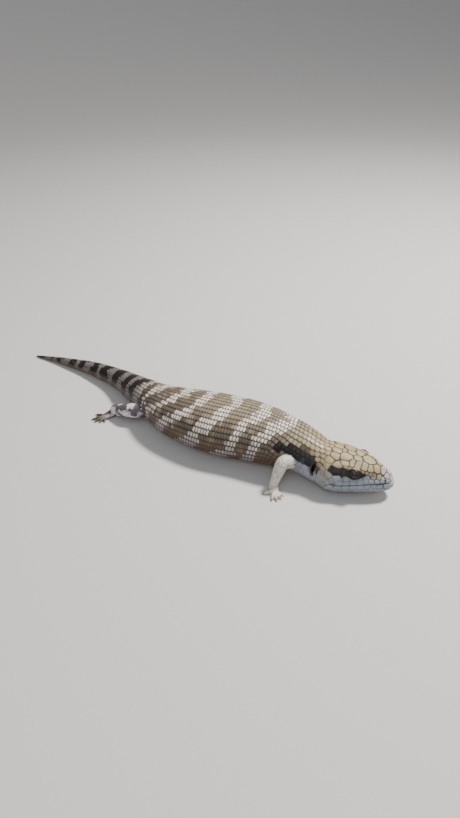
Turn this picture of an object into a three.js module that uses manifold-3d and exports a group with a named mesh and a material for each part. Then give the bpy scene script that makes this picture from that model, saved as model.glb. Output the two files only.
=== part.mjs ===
// An eastern blue-tongued skink, life size, as a still museum model.
// It creeps forward with its belly on the floor: the head is low and turned a little
// to its left, the right hand is planted out to the side, and the right hind foot
// trails behind. The tail sweeps to the left and lies on the floor.
//
// Millimetres. +X runs forward along the trunk, +Y to the animal's left, +Z up, and
// the floor is z = 0. The body is one lofted form, parted by thin cuts into head,
// neck, trunk and lengths of tail. Each leg is an upper part, a lower part and a foot.
import * as THREE from "three";
import { mergeVertices } from "three/addons/utils/BufferGeometryUtils.js";
import Module from "manifold-3d";

const wasm = await Module();
wasm.setup();

// Driving dimensions
const GAP = 0.3; // width of the cuts that part one piece from the next
const HEAD_LENGTH = 62; // from the snout's tip to the ear
const EAR_LEVEL = new THREE.Vector3(99.9, -3.2, 14.4); // where the head's axis meets the neck
const HEAD_TURN = THREE.MathUtils.degToRad(9.5); // to the animal's left
const HEAD_DROP = THREE.MathUtils.degToRad(3.5); // snout below level

const EYE_RADIUS = 4.4;
const EYE_FROM_SNOUT = 30;
const EYE_OUT = 13.7; // from the head's axis to the eyeball's centre
const EYE_UP = 9.6;
const EAR_OPENING = { fromSnout: 61.6, out: 21.4, up: 4.6, long: 2.8, deep: 3.4, high: 4.4 };

// Cross-sections, from the snout back. halfWidth, up and down are measured from the
// axis, which is the line of the mouth on the head. A boxiness of 2 is an ellipse and
// more is squarer. Taper narrows the upper half towards the crown.
const HEAD_SECTIONS = [
  { fromSnout: 0.4, halfWidth: 4.2, up: 3.4, down: 1.6, boxiness: 2.3, taper: 0.1 },
  { fromSnout: 3, halfWidth: 7.4, up: 7.2, down: 3.2, boxiness: 2.4, taper: 0.16 },
  { fromSnout: 8, halfWidth: 10.4, up: 11.2, down: 4.8, boxiness: 2.6, taper: 0.24 },
  { fromSnout: 16, halfWidth: 13.9, up: 15.8, down: 6.8, boxiness: 2.8, taper: 0.28 },
  { fromSnout: 26, halfWidth: 17.7, up: 18.3, down: 8.8, boxiness: 2.8, taper: 0.32 },
  { fromSnout: 38, halfWidth: 22.4, up: 19.6, down: 11.6, boxiness: 2.6, taper: 0.32 },
  { fromSnout: 50, halfWidth: 24.4, up: 20.4, down: 12.6, boxiness: 2.4, taper: 0.26 },
  { fromSnout: 62, halfWidth: 20.6, up: 21.2, down: 10.4, boxiness: 2.2, taper: 0.14 },
];

// The rest of the body, from the neck to the tail's tip. at is the middle of the section.
const BODY_SECTIONS = [
  { at: [84, -3, 20.2], halfWidth: 22.6, up: 20, down: 14.6, boxiness: 2.2, taper: 0.1 },
  { at: [66, -1, 21.6], halfWidth: 27, up: 20, down: 19.4, boxiness: 2.2, taper: 0.08 },
  { at: [34, 0, 21], halfWidth: 33, up: 21.6, down: 22, boxiness: 2.3, taper: 0.06 },
  { at: [0, -4.5, 20.6], halfWidth: 35, up: 21.8, down: 21.8, boxiness: 2.3, taper: 0.06 },
  { at: [-39, -7, 19.6], halfWidth: 28.8, up: 20.6, down: 20.6, boxiness: 2.2, taper: 0.06 },
  { at: [-72.7, -0.6, 16.8], halfWidth: 19.6, up: 17.6, down: 17.4, boxiness: 2.1, taper: 0.06 },
  { at: [-92, 6.5, 14.6], halfWidth: 17, up: 15.4, down: 15, boxiness: 2.1, taper: 0.04 },
  { at: [-108, 12.5, 13], halfWidth: 14.6, up: 13.4, down: 13.4, boxiness: 2, taper: 0 },
  { at: [-140, 23, 9.8], halfWidth: 10.8, up: 10.4, down: 10.2, boxiness: 2, taper: 0 },
  { at: [-178.5, 28.5, 7.3], halfWidth: 8.2, up: 7.6, down: 7.6, boxiness: 2, taper: 0 },
  { at: [-211, 28.5, 5], halfWidth: 5.6, up: 5.3, down: 5.3, boxiness: 2, taper: 0 },
  { at: [-239, 27, 3], halfWidth: 3.2, up: 3.1, down: 3.2, boxiness: 2, taper: 0 },
  { at: [-262, 24, 1.5], halfWidth: 1.3, up: 1.3, down: 1.6, boxiness: 2, taper: 0 },
];

// Where the body is parted, as places in the list of sections, head first.
const LENGTHS = [
  { name: "head", from: 0, to: 7.3, rings: 19 },
  { name: "neck", from: 7.3, to: 8.6, rings: 4 },
  { name: "trunk", from: 8.6, to: 13.5, rings: 18 },
  { name: "tail_base", from: 13.5, to: 16, rings: 6 },
  { name: "tail_middle", from: 16, to: 18, rings: 6 },
  { name: "tail_tip", from: 18, to: 20, rings: 5 },
];
const BODY_AROUND = 26;

// Legs: joints in order from the root, which lies inside the trunk, with the limb's
// half-thickness there. heading is the way the foot points, in degrees from forward,
// positive to the animal's left.
const LEGS = {
  foreleg_right: {
    root: [84.5, -16, 19.5], bend: [79, -30.5, 23.6], end: [76.2, -38.4, 6],
    radii: [6.9, 5.9, 3.9], foot: "hand", heading: -56,
  },
  foreleg_left: {
    root: [78, 15, 19], bend: [66, 29.5, 21], end: [66, 36.5, 6],
    radii: [7.4, 5.9, 3.9], foot: "hand", heading: 46,
  },
  hindleg_right: {
    root: [-68, -8, 15], bend: [-87, -21, 12.4], end: [-109.5, -21.5, 7],
    radii: [8.8, 7.2, 4.7], foot: "hind_foot", heading: -112,
  },
  hindleg_left: {
    root: [-68, 8, 15], bend: [-55, 28.5, 13], end: [-74, 35, 6],
    radii: [8.8, 6.9, 4.5], foot: "hind_foot", heading: 40,
  },
};
// Digits run from the front edge of the right hand round to its rear edge.
const FEET = {
  hand: {
    palm: { long: 5.6, heel: 4.1, ball: 3.3 },
    digits: [
      { spread: -58, long: 4.6 },
      { spread: -32, long: 6 },
      { spread: -8, long: 6.8 },
      { spread: 16, long: 6.6 },
      { spread: 84, long: 5.8 },
    ],
  },
  hind_foot: {
    palm: { long: 8.4, heel: 4.6, ball: 3.6 },
    digits: [
      { spread: -50, long: 5.8 },
      { spread: -26, long: 8 },
      { spread: -5, long: 9.8 },
      { spread: 16, long: 10.8 },
      { spread: 56, long: 8.2 },
    ],
  },
};
const DIGIT = { knuckle: 1.9, end: 1.35, reach: 1.6 };
const CLAW = { long: 2.6, radius: 0.8, tip: 0.3 };
const LIMB_AROUND = 12;
const DIGIT_AROUND = 7;
const CLAW_AROUND = 5;

const FINISHES = {
  body: { color: 0x8f8675, roughness: 0.5, metalness: 0 },
  foreleg: { color: 0xc9c6ba, roughness: 0.5, metalness: 0 },
  hindleg: { color: 0x77727a, roughness: 0.5, metalness: 0 },
  eye: { color: 0x2b1a12, roughness: 0.1, metalness: 0 },
};

// Turns a closed surface of triangles into a solid that can be cut and joined.
function solidOf(geometry) {
  geometry.deleteAttribute("normal");
  geometry.deleteAttribute("uv");
  const merged = mergeVertices(geometry, 1e-4);
  return new wasm.Manifold(
    new wasm.Mesh({
      numProp: 3,
      vertProperties: merged.attributes.position.array,
      triVerts: new Uint32Array(merged.index.array),
    }),
  );
}

// Turns a solid back into its surface of triangles, with normals.
function geometryOf(solid) {
  const mesh = solid.getMesh();
  const geometry = new THREE.BufferGeometry();
  geometry.setAttribute("position", new THREE.BufferAttribute(mesh.vertProperties, 3));
  geometry.setIndex(new THREE.BufferAttribute(mesh.triVerts, 1));
  geometry.computeVertexNormals();
  return geometry;
}

// A closed form through cross-sections. ringAt(v, angle) is a point of the section at v,
// from 0 to 1, and middleAt(v) its centre, where the flat end caps close.
function loft(ringAt, middleAt, around, rings) {
  const geometry = new THREE.SphereGeometry(1, around, rings + 2);
  const position = geometry.attributes.position;
  const lastRow = rings + 2;
  for (let i = 0; i < position.count; i++) {
    const row = Math.floor(i / (around + 1));
    const angle = (2 * Math.PI * (i % (around + 1))) / around;
    const v = THREE.MathUtils.clamp((row - 1) / rings, 0, 1);
    const isPole = row === 0 || row === lastRow;
    const p = isPole ? middleAt(v) : ringAt(v, angle);
    position.setXYZ(i, p.x, p.y, Math.max(p.z, 0));
  }
  return solidOf(geometry);
}

const signedPower = (value, power) => Math.sign(value) * Math.abs(value) ** power;

// A smooth curve through a list of values, at a place in the list such as 3.25.
function between(values, place) {
  const last = values.length - 1;
  const i = Math.min(Math.floor(place), last - 1);
  const at = (k) => values[THREE.MathUtils.clamp(k, 0, last)];
  const t = place - i;
  const [a, b, c, d] = [at(i - 1), at(i), at(i + 1), at(i + 2)];
  return b + 0.5 * t * (c - a + t * (2 * a - 5 * b + 4 * c - d + t * (3 * (b - c) + d - a)));
}

// The head's own frame: forward to the snout, left, and up
const forward = new THREE.Vector3(
  Math.cos(HEAD_DROP) * Math.cos(HEAD_TURN),
  Math.cos(HEAD_DROP) * Math.sin(HEAD_TURN),
  -Math.sin(HEAD_DROP),
);
const UP = new THREE.Vector3(0, 0, 1);
const headLeft = UP.clone().cross(forward).normalize();
const headUp = forward.clone().cross(headLeft);

function onHead(fromSnout, left, up) {
  return EAR_LEVEL.clone()
    .addScaledVector(forward, HEAD_LENGTH - fromSnout)
    .addScaledVector(headLeft, left)
    .addScaledVector(headUp, up);
}

const sections = [
  ...HEAD_SECTIONS.map((s) => ({ ...s, at: onHead(s.fromSnout, 0, 0).toArray() })),
  ...BODY_SECTIONS,
];
const columns = {
  x: sections.map((s) => s.at[0]),
  y: sections.map((s) => s.at[1]),
  z: sections.map((s) => s.at[2]),
};
for (const key of ["halfWidth", "up", "down", "boxiness", "taper"]) {
  columns[key] = sections.map((s) => s[key]);
}

function spineAt(place) {
  return new THREE.Vector3(
    between(columns.x, place),
    between(columns.y, place),
    between(columns.z, place),
  );
}

// A point on the body's surface, or the given distance outside it.
function bodyPoint(place, angle, grow = 0) {
  const step = 0.02;
  const last = sections.length - 1;
  const ahead = spineAt(Math.max(place - step, 0));
  const behind = spineAt(Math.min(place + step, last));
  const along = ahead.sub(behind).normalize();
  const left = UP.clone().cross(along).normalize();
  const up = along.clone().cross(left);
  const c = Math.cos(angle);
  const s = Math.sin(angle);
  const power = 2 / between(columns.boxiness, place);
  const high = signedPower(s, power);
  const narrowing = 1 - between(columns.taper, place) * Math.max(high, 0) ** 2;
  const across = signedPower(c, power) * narrowing * (between(columns.halfWidth, place) + grow);
  const rise = high * (between(columns[s > 0 ? "up" : "down"], place) + grow);
  return spineAt(place).addScaledVector(left, across).addScaledVector(up, rise);
}

// One length of the body between two places, drawn back at each cut by half the gap.
function bodyLength({ from, to, rings }, grow = 0) {
  const inset = (place, way) => {
    const speed = spineAt(place + way * 0.02).distanceTo(spineAt(place)) / 0.02;
    return place + (way * (GAP / 2 - grow)) / speed;
  };
  const last = sections.length - 1;
  const start = from === 0 ? 0 : inset(from, 1);
  const end = to === last ? last : inset(to, -1);
  const placeAt = (v) => THREE.MathUtils.lerp(start, end, v);
  return loft(
    (v, angle) => bodyPoint(placeAt(v), angle, grow),
    (v) => spineAt(placeAt(v)),
    BODY_AROUND,
    rings,
  );
}

// A round-ended length of limb from a to b. Its half-thickness goes from first to last.
function limb(a, b, first, last, around = LIMB_AROUND, capRings = 3) {
  const axis = b.clone().sub(a);
  const long = axis.length();
  axis.normalize();
  const side = axis.clone().cross(UP).normalize();
  const up = side.clone().cross(axis);
  const rings = 2 * capRings - 1;
  const stationAt = (v) => {
    const ring = Math.round(v * rings);
    const atStart = ring < capRings;
    const turn = ((atStart ? ring : rings - ring) + 1) * (Math.PI / 2 / capRings);
    const thick = atStart ? first : last;
    const drawnBack = thick * Math.cos(turn);
    return { along: atStart ? -drawnBack : long + drawnBack, thick: thick * Math.sin(turn) };
  };
  const ringAt = (v, angle) => {
    const { along, thick } = stationAt(v);
    return a
      .clone()
      .addScaledVector(axis, along)
      .addScaledVector(side, thick * Math.cos(angle))
      .addScaledVector(up, thick * Math.sin(angle));
  };
  const endTip = (v) => a.clone().addScaledVector(axis, v < 0.5 ? -first : long + last);
  return loft(ringAt, endTip, around, rings);
}

const flatHeading = (angle) => new THREE.Vector3(Math.cos(angle), Math.sin(angle), 0);

// The palm or sole with its five digits and their claws, as one solid.
function foot(leg, side, grow = 0) {
  const { palm, digits } = FEET[leg.foot];
  const turn = THREE.MathUtils.degToRad(leg.heading);
  const heel = new THREE.Vector3(...leg.end);
  heel.z = palm.heel * 0.95;
  const ball = heel.clone().addScaledVector(flatHeading(turn), palm.long);
  ball.z = palm.ball * 0.7;
  let made = limb(heel, ball, palm.heel + grow, palm.ball + grow);
  for (const { spread, long } of digits) {
    const heading = flatHeading(turn + side * THREE.MathUtils.degToRad(spread));
    const knuckle = ball.clone().addScaledVector(heading, DIGIT.reach);
    const tip = knuckle.clone().addScaledVector(heading, long);
    knuckle.z = DIGIT.knuckle * 0.9;
    tip.z = DIGIT.end * 0.85;
    const digit = limb(knuckle, tip, DIGIT.knuckle + grow, DIGIT.end + grow, DIGIT_AROUND, 2);
    const clawTip = tip.clone().addScaledVector(heading, CLAW.long);
    clawTip.z = CLAW.tip * 0.9;
    made = made.add(digit);
    made = made.add(limb(tip, clawTip, CLAW.radius, CLAW.tip, CLAW_AROUND, 2));
  }
  return made;
}

// An eyeball, or the socket it sits in where the radius is larger.
function eyeball(side, radius) {
  const ball = new THREE.SphereGeometry(radius, 14, 10);
  const at = onHead(EYE_FROM_SNOUT, side * EYE_OUT, EYE_UP);
  return solidOf(ball.translate(at.x, at.y, at.z));
}

function earOpening(side) {
  const { fromSnout, out, up, long, deep, high } = EAR_OPENING;
  const at = onHead(fromSnout, side * out, up);
  const pit = new THREE.SphereGeometry(1, 12, 8).scale(long, deep, high);
  return solidOf(pit.rotateZ(HEAD_TURN).translate(at.x, at.y, at.z));
}

const SIDES = { left: 1, right: -1 };
const sideOf = (name) => SIDES[name.split("_")[1]];
const solids = {};

for (const length of LENGTHS) solids[length.name] = bodyLength(length);
for (const [name, side] of Object.entries(SIDES)) {
  solids.head = solids.head.subtract(eyeball(side, EYE_RADIUS + GAP)).subtract(earOpening(side));
  solids[`eye_${name}`] = eyeball(side, EYE_RADIUS);
}

// Each leg is cut back by the trunk and neck, its lower part's rounded joint cuts the
// upper part, and the foot cuts the lower part.
const core = LENGTHS.filter((l) => ["neck", "trunk", "tail_base"].includes(l.name))
  .map((l) => bodyLength(l, GAP))
  .reduce((a, b) => a.add(b));
for (const [name, leg] of Object.entries(LEGS)) {
  const side = sideOf(name);
  const [root, bend, end] = [leg.root, leg.bend, leg.end].map((p) => new THREE.Vector3(...p));
  const [thick, middle, thin] = leg.radii;
  const upper = limb(root, bend, thick, middle);
  const lower = limb(bend, end, middle, thin);
  const room = limb(bend, end, middle + GAP, thin + GAP);
  solids[`${name}_upper`] = largest(upper.subtract(core).subtract(room));
  solids[`${name}_lower`] = largest(lower.subtract(core).subtract(foot(leg, side, GAP)));
  solids[`${name}_${leg.foot}`] = largest(foot(leg, side).subtract(core));
}

// The biggest body of a solid that a cut may have left in several.
function largest(solid) {
  return solid.decompose().reduce((a, b) => (a.volume() > b.volume() ? a : b));
}

const skink = new THREE.Group();
for (const [name, solid] of Object.entries(solids)) {
  const finish = FINISHES[name.split("_")[0]] ?? FINISHES.body;
  const mesh = new THREE.Mesh(geometryOf(solid), new THREE.MeshStandardMaterial(finish));
  mesh.name = name;
  skink.add(mesh);
}

// The origin is on the floor, under the middle of the whole animal's box
const middle = new THREE.Box3().setFromObject(skink).getCenter(new THREE.Vector3());
skink.position.set(-middle.x, -middle.y, 0);

export default skink;
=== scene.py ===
"""The looks of a life-size blue-tongued skink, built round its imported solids.

Shapes are worked out in millimetres in the design frame: +X forward along the trunk,
+Y to the animal's left, +Z up, the floor at z = 0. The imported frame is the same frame
moved sideways, and the eyes' CAD box says how far.
"""
import math

import bmesh
import bpy
import numpy as np
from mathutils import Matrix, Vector
from mathutils.bvhtree import BVHTree
from mathutils.kdtree import KDTree


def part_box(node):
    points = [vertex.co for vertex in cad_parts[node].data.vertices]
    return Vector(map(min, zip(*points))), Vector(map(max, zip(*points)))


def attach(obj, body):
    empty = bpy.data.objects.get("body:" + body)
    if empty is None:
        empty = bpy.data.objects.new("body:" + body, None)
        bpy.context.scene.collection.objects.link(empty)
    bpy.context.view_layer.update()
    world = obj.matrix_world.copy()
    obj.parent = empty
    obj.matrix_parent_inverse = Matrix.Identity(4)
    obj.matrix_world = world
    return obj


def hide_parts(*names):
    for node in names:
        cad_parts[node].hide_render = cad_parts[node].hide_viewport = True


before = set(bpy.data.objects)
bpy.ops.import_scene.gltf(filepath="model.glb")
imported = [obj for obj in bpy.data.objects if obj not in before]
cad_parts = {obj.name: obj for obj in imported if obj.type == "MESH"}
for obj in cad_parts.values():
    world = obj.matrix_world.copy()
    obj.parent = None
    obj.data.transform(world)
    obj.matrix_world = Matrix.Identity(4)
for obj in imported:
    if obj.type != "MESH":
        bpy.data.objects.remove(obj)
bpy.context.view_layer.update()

rng = np.random.default_rng(7)

# The head: its place, its turn and its drop, with the eyes, ears and nostrils on it.
# Places on the head are behind the snout, out from its axis and above it.
HEAD_LENGTH = 62.0
EAR_LEVEL = np.array([99.9, -3.2, 14.4])
HEAD_TURN = math.radians(9.5)
HEAD_DROP = math.radians(3.5)
EYE_RADIUS = 4.4
EYE_PLACE = (30.0, 13.7, 9.6)
EYE_LOOKS = (0.12, 0.97, 0.22)  # forward, out and up
LID_RADIUS = 5.1
EYE_OPENING = (0.78, 0.54)  # half its length and height, as angles at the eye's centre
EAR_PLACE = (61.6, 20.2, 6.8)
EAR_HALF = (2.5, 4.2)  # half the opening's length and height
NOSTRIL_PLACE = (5.6, 7.0, 7.0)
NOSTRIL_RADIUS = 0.95
EAR_DEPTH = 3.2
NOSTRIL_DEPTH = 1.6
MOUTH_LINE = np.array([(0, 4.4), (6.4, 4.6), (14.4, 4.2), (28.1, 2.1), (39.9, 0.7), (50, 1.4)])
MOUTH_END = 46.0
BROW_LINE = np.array([
    (17.3, 9.5, 12.4), (23.6, 11.2, 13.4), (31.4, 12.9, 14.3), (37.7, 14.4, 14.6), (46, 15.2, 15.2)])

# Cross-sections: half width, up, down, boxiness and taper. Those of the head come after how
# far behind the snout they are, those of the body after x, y and z.
HEAD_SECTIONS = [
    (0.4, 4.2, 3.4, 1.6, 2.3, 0.1),
    (3, 7.4, 7.2, 3.2, 2.4, 0.16),
    (8, 10.4, 11.2, 4.8, 2.6, 0.24),
    (16, 13.9, 15.8, 6.8, 2.8, 0.28),
    (26, 17.7, 18.3, 8.8, 2.8, 0.32),
    (38, 22.4, 19.6, 11.6, 2.6, 0.32),
    (50, 24.4, 20.4, 12.6, 2.4, 0.26),
    (62, 20.6, 21.2, 10.4, 2.2, 0.14),
]
BODY_SECTIONS = [
    (84, -3, 20.2, 22.6, 20, 14.6, 2.2, 0.1),
    (66, -1, 21.6, 27, 20, 19.4, 2.2, 0.08),
    (34, 0, 21, 33, 21.6, 22, 2.3, 0.06),
    (0, -4.5, 20.6, 35, 21.8, 21.8, 2.3, 0.06),
    (-39, -7, 19.6, 28.8, 20.6, 20.6, 2.2, 0.06),
    (-72.7, -0.6, 16.8, 19.6, 17.6, 17.4, 2.1, 0.06),
    (-92, 6.5, 14.6, 17, 15.4, 15, 2.1, 0.04),
    (-108, 12.5, 13, 14.6, 13.4, 13.4, 2, 0),
    (-140, 23, 9.8, 10.8, 10.4, 10.2, 2, 0),
    (-178.5, 28.5, 7.3, 8.2, 7.6, 7.6, 2, 0),
    (-211, 28.5, 5, 5.6, 5.3, 5.3, 2, 0),
    (-239, 27, 3, 3.2, 3.1, 3.2, 2, 0),
    (-262, 24, 1.5, 1.3, 1.3, 1.6, 2, 0),
]
HEAD_ZONE = HEAD_LENGTH + 12  # as far behind the snout as the head's relief reaches
NECK_PLACES = (6.2, 7.2)  # where in the two lists the coat gets as thick as the body's
BODY_STEP = 0.8  # how far apart the body's rings are

# How far the rounded ends of the body, legs, feet and digits stand out, and how their rings
# are spaced
SNOUT_DOME = 1.0
TAIL_DOME = 0.6
ANKLE_DOME = 2.5
SOLE_DOMES = (1.5, 1.2)
DIGIT_DOME = 1.0
DOME_ANGLES = np.radians((22, 45, 66, 84))

# Legs, from the root inside the trunk to the wrist or ankle. turn is the way the foot
# points, in degrees to the left of forward, and top the way the leg's upper side faces.
LEGS = {
    "foreleg_right": dict(
        root=(84.5, -16, 19.5), bend=(79, -30.5, 23.6), end=(76.2, -38.4, 6),
        radii=(6.9, 5.9, 3.9), foot="hand", turn=-56, side=-1, top=(1, 0, 0)),
    "foreleg_left": dict(
        root=(78, 15, 19), bend=(66, 29.5, 21), end=(66, 36.5, 6),
        radii=(7.4, 5.9, 3.9), foot="hand", turn=46, side=1, top=(1, 0, 0)),
    "hindleg_right": dict(
        root=(-68, -8, 15), bend=(-87, -21, 12.4), end=(-109.5, -21.5, 7),
        radii=(8.8, 7.2, 4.7), foot="hind_foot", turn=-112, side=-1, top=(0, 0, 1)),
    "hindleg_left": dict(
        root=(-68, 8, 15), bend=(-55, 28.5, 13), end=(-74, 35, 6),
        radii=(8.8, 6.9, 4.5), foot="hind_foot", turn=40, side=1, top=(0, 0, 1)),
}
# A foot's palm length, the radii of its heel and ball, and each digit's angle outwards and length
FEET = {
    "hand": dict(
        palm=5.6, heel=4.1, ball=3.3,
        digits=((-58, 4.6), (-32, 6), (-8, 6.8), (16, 6.6), (84, 5.8))),
    "hind_foot": dict(
        palm=8.4, heel=4.6, ball=3.6,
        digits=((-50, 5.8), (-26, 8), (-5, 9.8), (16, 10.8), (56, 8.2))),
}
WRIST_BACK = 1.5  # how far up the leg from the wrist or ankle a sole starts
KNUCKLE_RADIUS = 1.9
DIGIT_ARCH_RADIUS = 1.55
DIGIT_END_RADIUS = 1.35
DIGIT_ARCH = 0.3  # how much higher the arch's middle is than a knuckle's radius
DIGIT_REACH = 1.6
# How high middles lie above the floor, as shares of the radius there
HEEL_LIFT = 0.8
BALL_LIFT = 0.62
KNUCKLE_LIFT = 0.95
TIP_LIFT = 0.85
# How high a tube is for its width, from its start to its end
LEG_FLATNESS = (1, 1, 1, 0.95)
SOLE_FLATNESS = (0.95, 0.85, 0.55, 0.5)
DIGIT_FLATNESS = (0.95, 0.95, 1, 0.95)
CLAW_LENGTH = 3.0
CLAW_ROOT = 0.6  # how far a claw starts inside the digit
CLAW_RADIUS = 0.8
CLAW_TIP_RADIUS = 0.1

# The skin: how far it lies inside the solids, and how low it and the scales may come
HEAD_COAT = 0.35
BODY_COAT = 0.5
LIMB_COAT = 0.35
DIGIT_COAT = 0.35
SKIN_FLOOR = 0.5
SCALE_FLOOR = 0.03
VOXEL = 0.45
SKIN_TRIANGLES = 190000
MM = 0.001

# The coat of scales
SEAM = 0.16  # how wide the gap between head shields is
LIP_GAP = 0.45  # how wide it is along the mouth
BAKE_PATCH = 0.003  # how wide a scale is on the unwrap
# The rings of a scale's top: share of its outline, drop in mm. Its underside has one more.
TOP_RINGS = ((0.45, 0.0), (0.74, 0.0), (0.92, 0.04), (1.0, 0.12))
UNDER_SHARE = 0.96
# Painted shade: how far a plate's underside and the walls of its edge go towards the edge colour
UNDER_SHADE = 0.8  # how dark the underside is
ROW_SCALE = (0.78, 0.51)  # half a scale's length and width, as shares of its row's step and width
SHADE_JITTER = 0.06  # how much brighter or darker single scales are
# Places on a scale, in shares of its length back from the root and of its width
PROBES = ((0.0, 0.0), (0.5, -0.45), (0.5, 0.0), (0.5, 0.45), (1.15, 0.0))
UNEVEN = 0.6  # how much the skin may rise or fall under a scale

# The body's rows. The first table says how far behind the snout they begin, for how far from
# the top line. The next two are against the distance behind the snout.
ROWS_AROUND = 36
ROW_OVERLAP = 1.18  # how wide a scale is, as a share of its row
ROWS_FROM = 110.0  # where on the spine the rows are square to it, behind the snout
TAIL_END = 428.0
COAT_START = np.array([
    (0, 50.5), (12, 51), (22, 55), (30, 57), (34, 52), (40, 43), (48, 34), (56, 29), (70, 27)])
LEAST_ROW_WIDTH = np.array([
    (80, 4.5), (108, 3.6), (225, 3.6), (290, 3.0), (334, 2.3), (398, 1.6), (TAIL_END, 1.1)])
SCALE_LENGTH = np.array([
    (60, 4.4), (88, 3.6), (115, 2.7), (220, 2.7), (290, 2.5), (334, 2.0), (398, 1.4),
    (TAIL_END, 1.0)])
# The coat's pieces on the body: from and to behind the snout, and how many corners a scale has
BODY_PIECES = {
    "scales_neck": (0, 84, 14),
    "scales_front": (84, 152, 16),
    "scales_rear": (152, 225, 16),
    "scales_tail": (225, 310, 12),
    "scales_tail_end": (310, TAIL_END + 6, 9),
}
SHIELD_OVERLAP = 1.2  # how far under the head's coat the rows begin
ROWS_LEG_GAP = 0.5  # how deep in a leg a scale's root may be
ROWS_EAR_GAP = 1.4  # how far from an ear its middle stays, as a share of the opening

# Rows on feet: scales round the tube, a row's step as a share of a scale's width, corners
SOLE_ROWS = (13, 0.85, 10)
DIGIT_ROWS = (7, 0.72, 8)
FOOT_ROWS_GAP = 0.4  # how deep in another tube a scale's root may be

# The scales packed on the legs, and in the folds where they join the trunk
LEG_SCALES_AROUND = 15
FOLD_REACH = 21.0  # how far the folds come from the middle of a leg's root
FOLD_PITCH = 1.5  # how far apart the folds' scales are
CLEAR = 0.8  # how far the scales of the legs and folds keep from those in rows
TRIES = 12  # how many places are strewn on each square mm to pack them from
LEG_SCALE = (0.76, 0.63)  # half a scale's length and width, as shares of the pitch

# Head shields: how far behind the snout, how far from the top line, half length, half width
MIDLINE_SHIELDS = {
    "rostral": (2.3, 0, 1.3, 3.4),
    "frontonasal": (9.6, 0, 2.3, 4.4),
    "frontal": (21.8, 0, 5.0, 3.3),
    "interparietal": (36.6, 0, 3.2, 2.3),
}
PAIRED_SHIELDS = {
    "nasal": (5.6, 3.2, 1.9, 3.0),
    "postnasal": (7.8, 8.6, 1.5, 1.7),
    "prefrontal": (14.2, 4.2, 2.7, 3.6),
    "loreals": (11, 9.8, 1.7, 2.2),
    "second_loreals": (14.8, 12.0, 2.0, 2.5),
    "preoculars": (19.2, 15.6, 1.8, 1.7),
    "presuboculars": (19.6, 19, 1.9, 1.7),
    "first_supraocular": (18.8, 8.0, 2.3, 2.8),
    "second_supraocular": (23.6, 9.2, 2.6, 3.0),
    "third_supraocular": (28.8, 9.8, 2.6, 3.2),
    "fourth_supraocular": (33.6, 10.2, 2.3, 3.0),
    "frontoparietal": (30.6, 3.6, 2.9, 3.0),
    "parietal": (39.6, 6.6, 4.4, 3.8),
    "outer_parietal": (38.8, 12.6, 3.2, 2.4),
    "nuchal": (47.6, 3.0, 2.8, 3.0),
    "outer_nuchal": (47.8, 9.2, 2.8, 3.0),
    "upper_temporal": (44.2, 16.6, 3.4, 2.6),
    "middle_temporal": (43.2, 22.0, 3.2, 2.7),
    "lower_temporal": (41.6, 27.0, 2.9, 2.5),
    "rear_temporal": (50.6, 14.6, 2.8, 2.6),
    "rear_middle_temporal": (50.4, 20.2, 3.0, 2.7),
    "rear_lower_temporal": (49.4, 25.8, 2.9, 2.6),
}
CHIN_SHIELDS = ((5.4, 0, 1.9, 3.6), (10, 3.6, 2.3, 3.2), (15.2, 5.6, 2.6, 3.0), (20.8, 7.4, 2.5, 2.8))
SUPRACILIARIES = (
    (17.2, 11.9), (20.6, 13.0), (24, 13.9), (27.4, 14.6), (30.8, 15.1), (34.2, 15.6), (37.6, 16.2))
SUPRACILIARY_HALF = (1.8, 1.25)
UPPER_LABIALS = (4.6, 7.8, 11.4, 15.4, 19.6, 24, 28.8, 33.8, 39)
LOWER_LABIALS = (4.4, 8.4, 12.8, 17.6, 22.8, 28.2, 33.8, 39.6)
LABIAL_HALF = (2.2, 1.9)
LID_RINGS = ((16, 3.75, 2.65, 0.7), (15, 5.3, 4.1, 0.95))  # how many, half length, half height, size
EYE_ON_SKIN = (29.6, 19.1)
EYE_HOLE = (2.95, 1.9)  # half its length and height
FILLER_STEP = 2.8  # how far apart the small scales are that fill in between the shields
FILLER_HALF = (1.75, 1.6)
FILLER_GAP = 1.55  # how far their middles stay from a shield's, as a share of its size
SHIELD_CORNERS = 40
SHIELD_RINGS = ((0.4, 0.0), (0.78, 0.0), (0.92, 0.01), (0.975, 0.04), (1.0, 0.12))
SHIELD_REACH = 1.5  # how far a shield goes where no neighbour stops it, as a share of its size
SHIELDS_PAST_START = 3.4  # how far they go past the line where the rows begin
LEAST_SHIELD = 0.8  # length by width, in square mm
NEIGHBOURS = 18  # how many of the nearest seeds can stop a shield
HEAD_UNWRAP = 64.0  # how far behind the snout the unwrap of the head's coat ends
LOBULES = ((-2.2, 1.5), (0.0, 1.9), (2.2, 1.5))  # how far below the ear's middle, half length

# The eye: where its pupil and iris end, as angles from its middle, and the clear bulge's height
PUPIL = 0.29
IRIS = 0.68
EYE_BULGE = 0.22

# The dark stripe through the eye and down the neck: distance behind the snout, how far its
# middle is from the top line, half its width
STRIPE_LINE = np.array([
    (18, 13.6, -1), (20, 14.0, 0.6), (24.5, 16.3, 2.1), (29, 18.0, 3.2), (33.5, 19.0, 3.3),
    (38.5, 20.4, 3.6), (43, 21.3, 3.8), (48, 21.6, 3.6), (49.8, 21.6, 2.8), (51, 21.6, -1),
    (55, 20.9, -1), (57.5, 20.6, 2.2), (64, 18.2, 4.3), (70, 18.8, 5.4), (75, 19.2, 5.2),
    (80, 20.6, 4.3), (87, 23.8, 3.2), (95, 26.4, -1)])
# Where the grey of the side begins: distance behind the snout, how far from the top line
SIDE_EDGE = np.array([
    (0, 3.5), (6, 8), (12, 11.5), (18, 14), (24, 17.4), (30, 20.6), (34, 22), (39, 23.8), (46, 24.8),
    (52, 23), (58, 21.6), (64, 21), (75, 20.4), (82, 22.6), (90, 25), (104, 28)])

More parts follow.
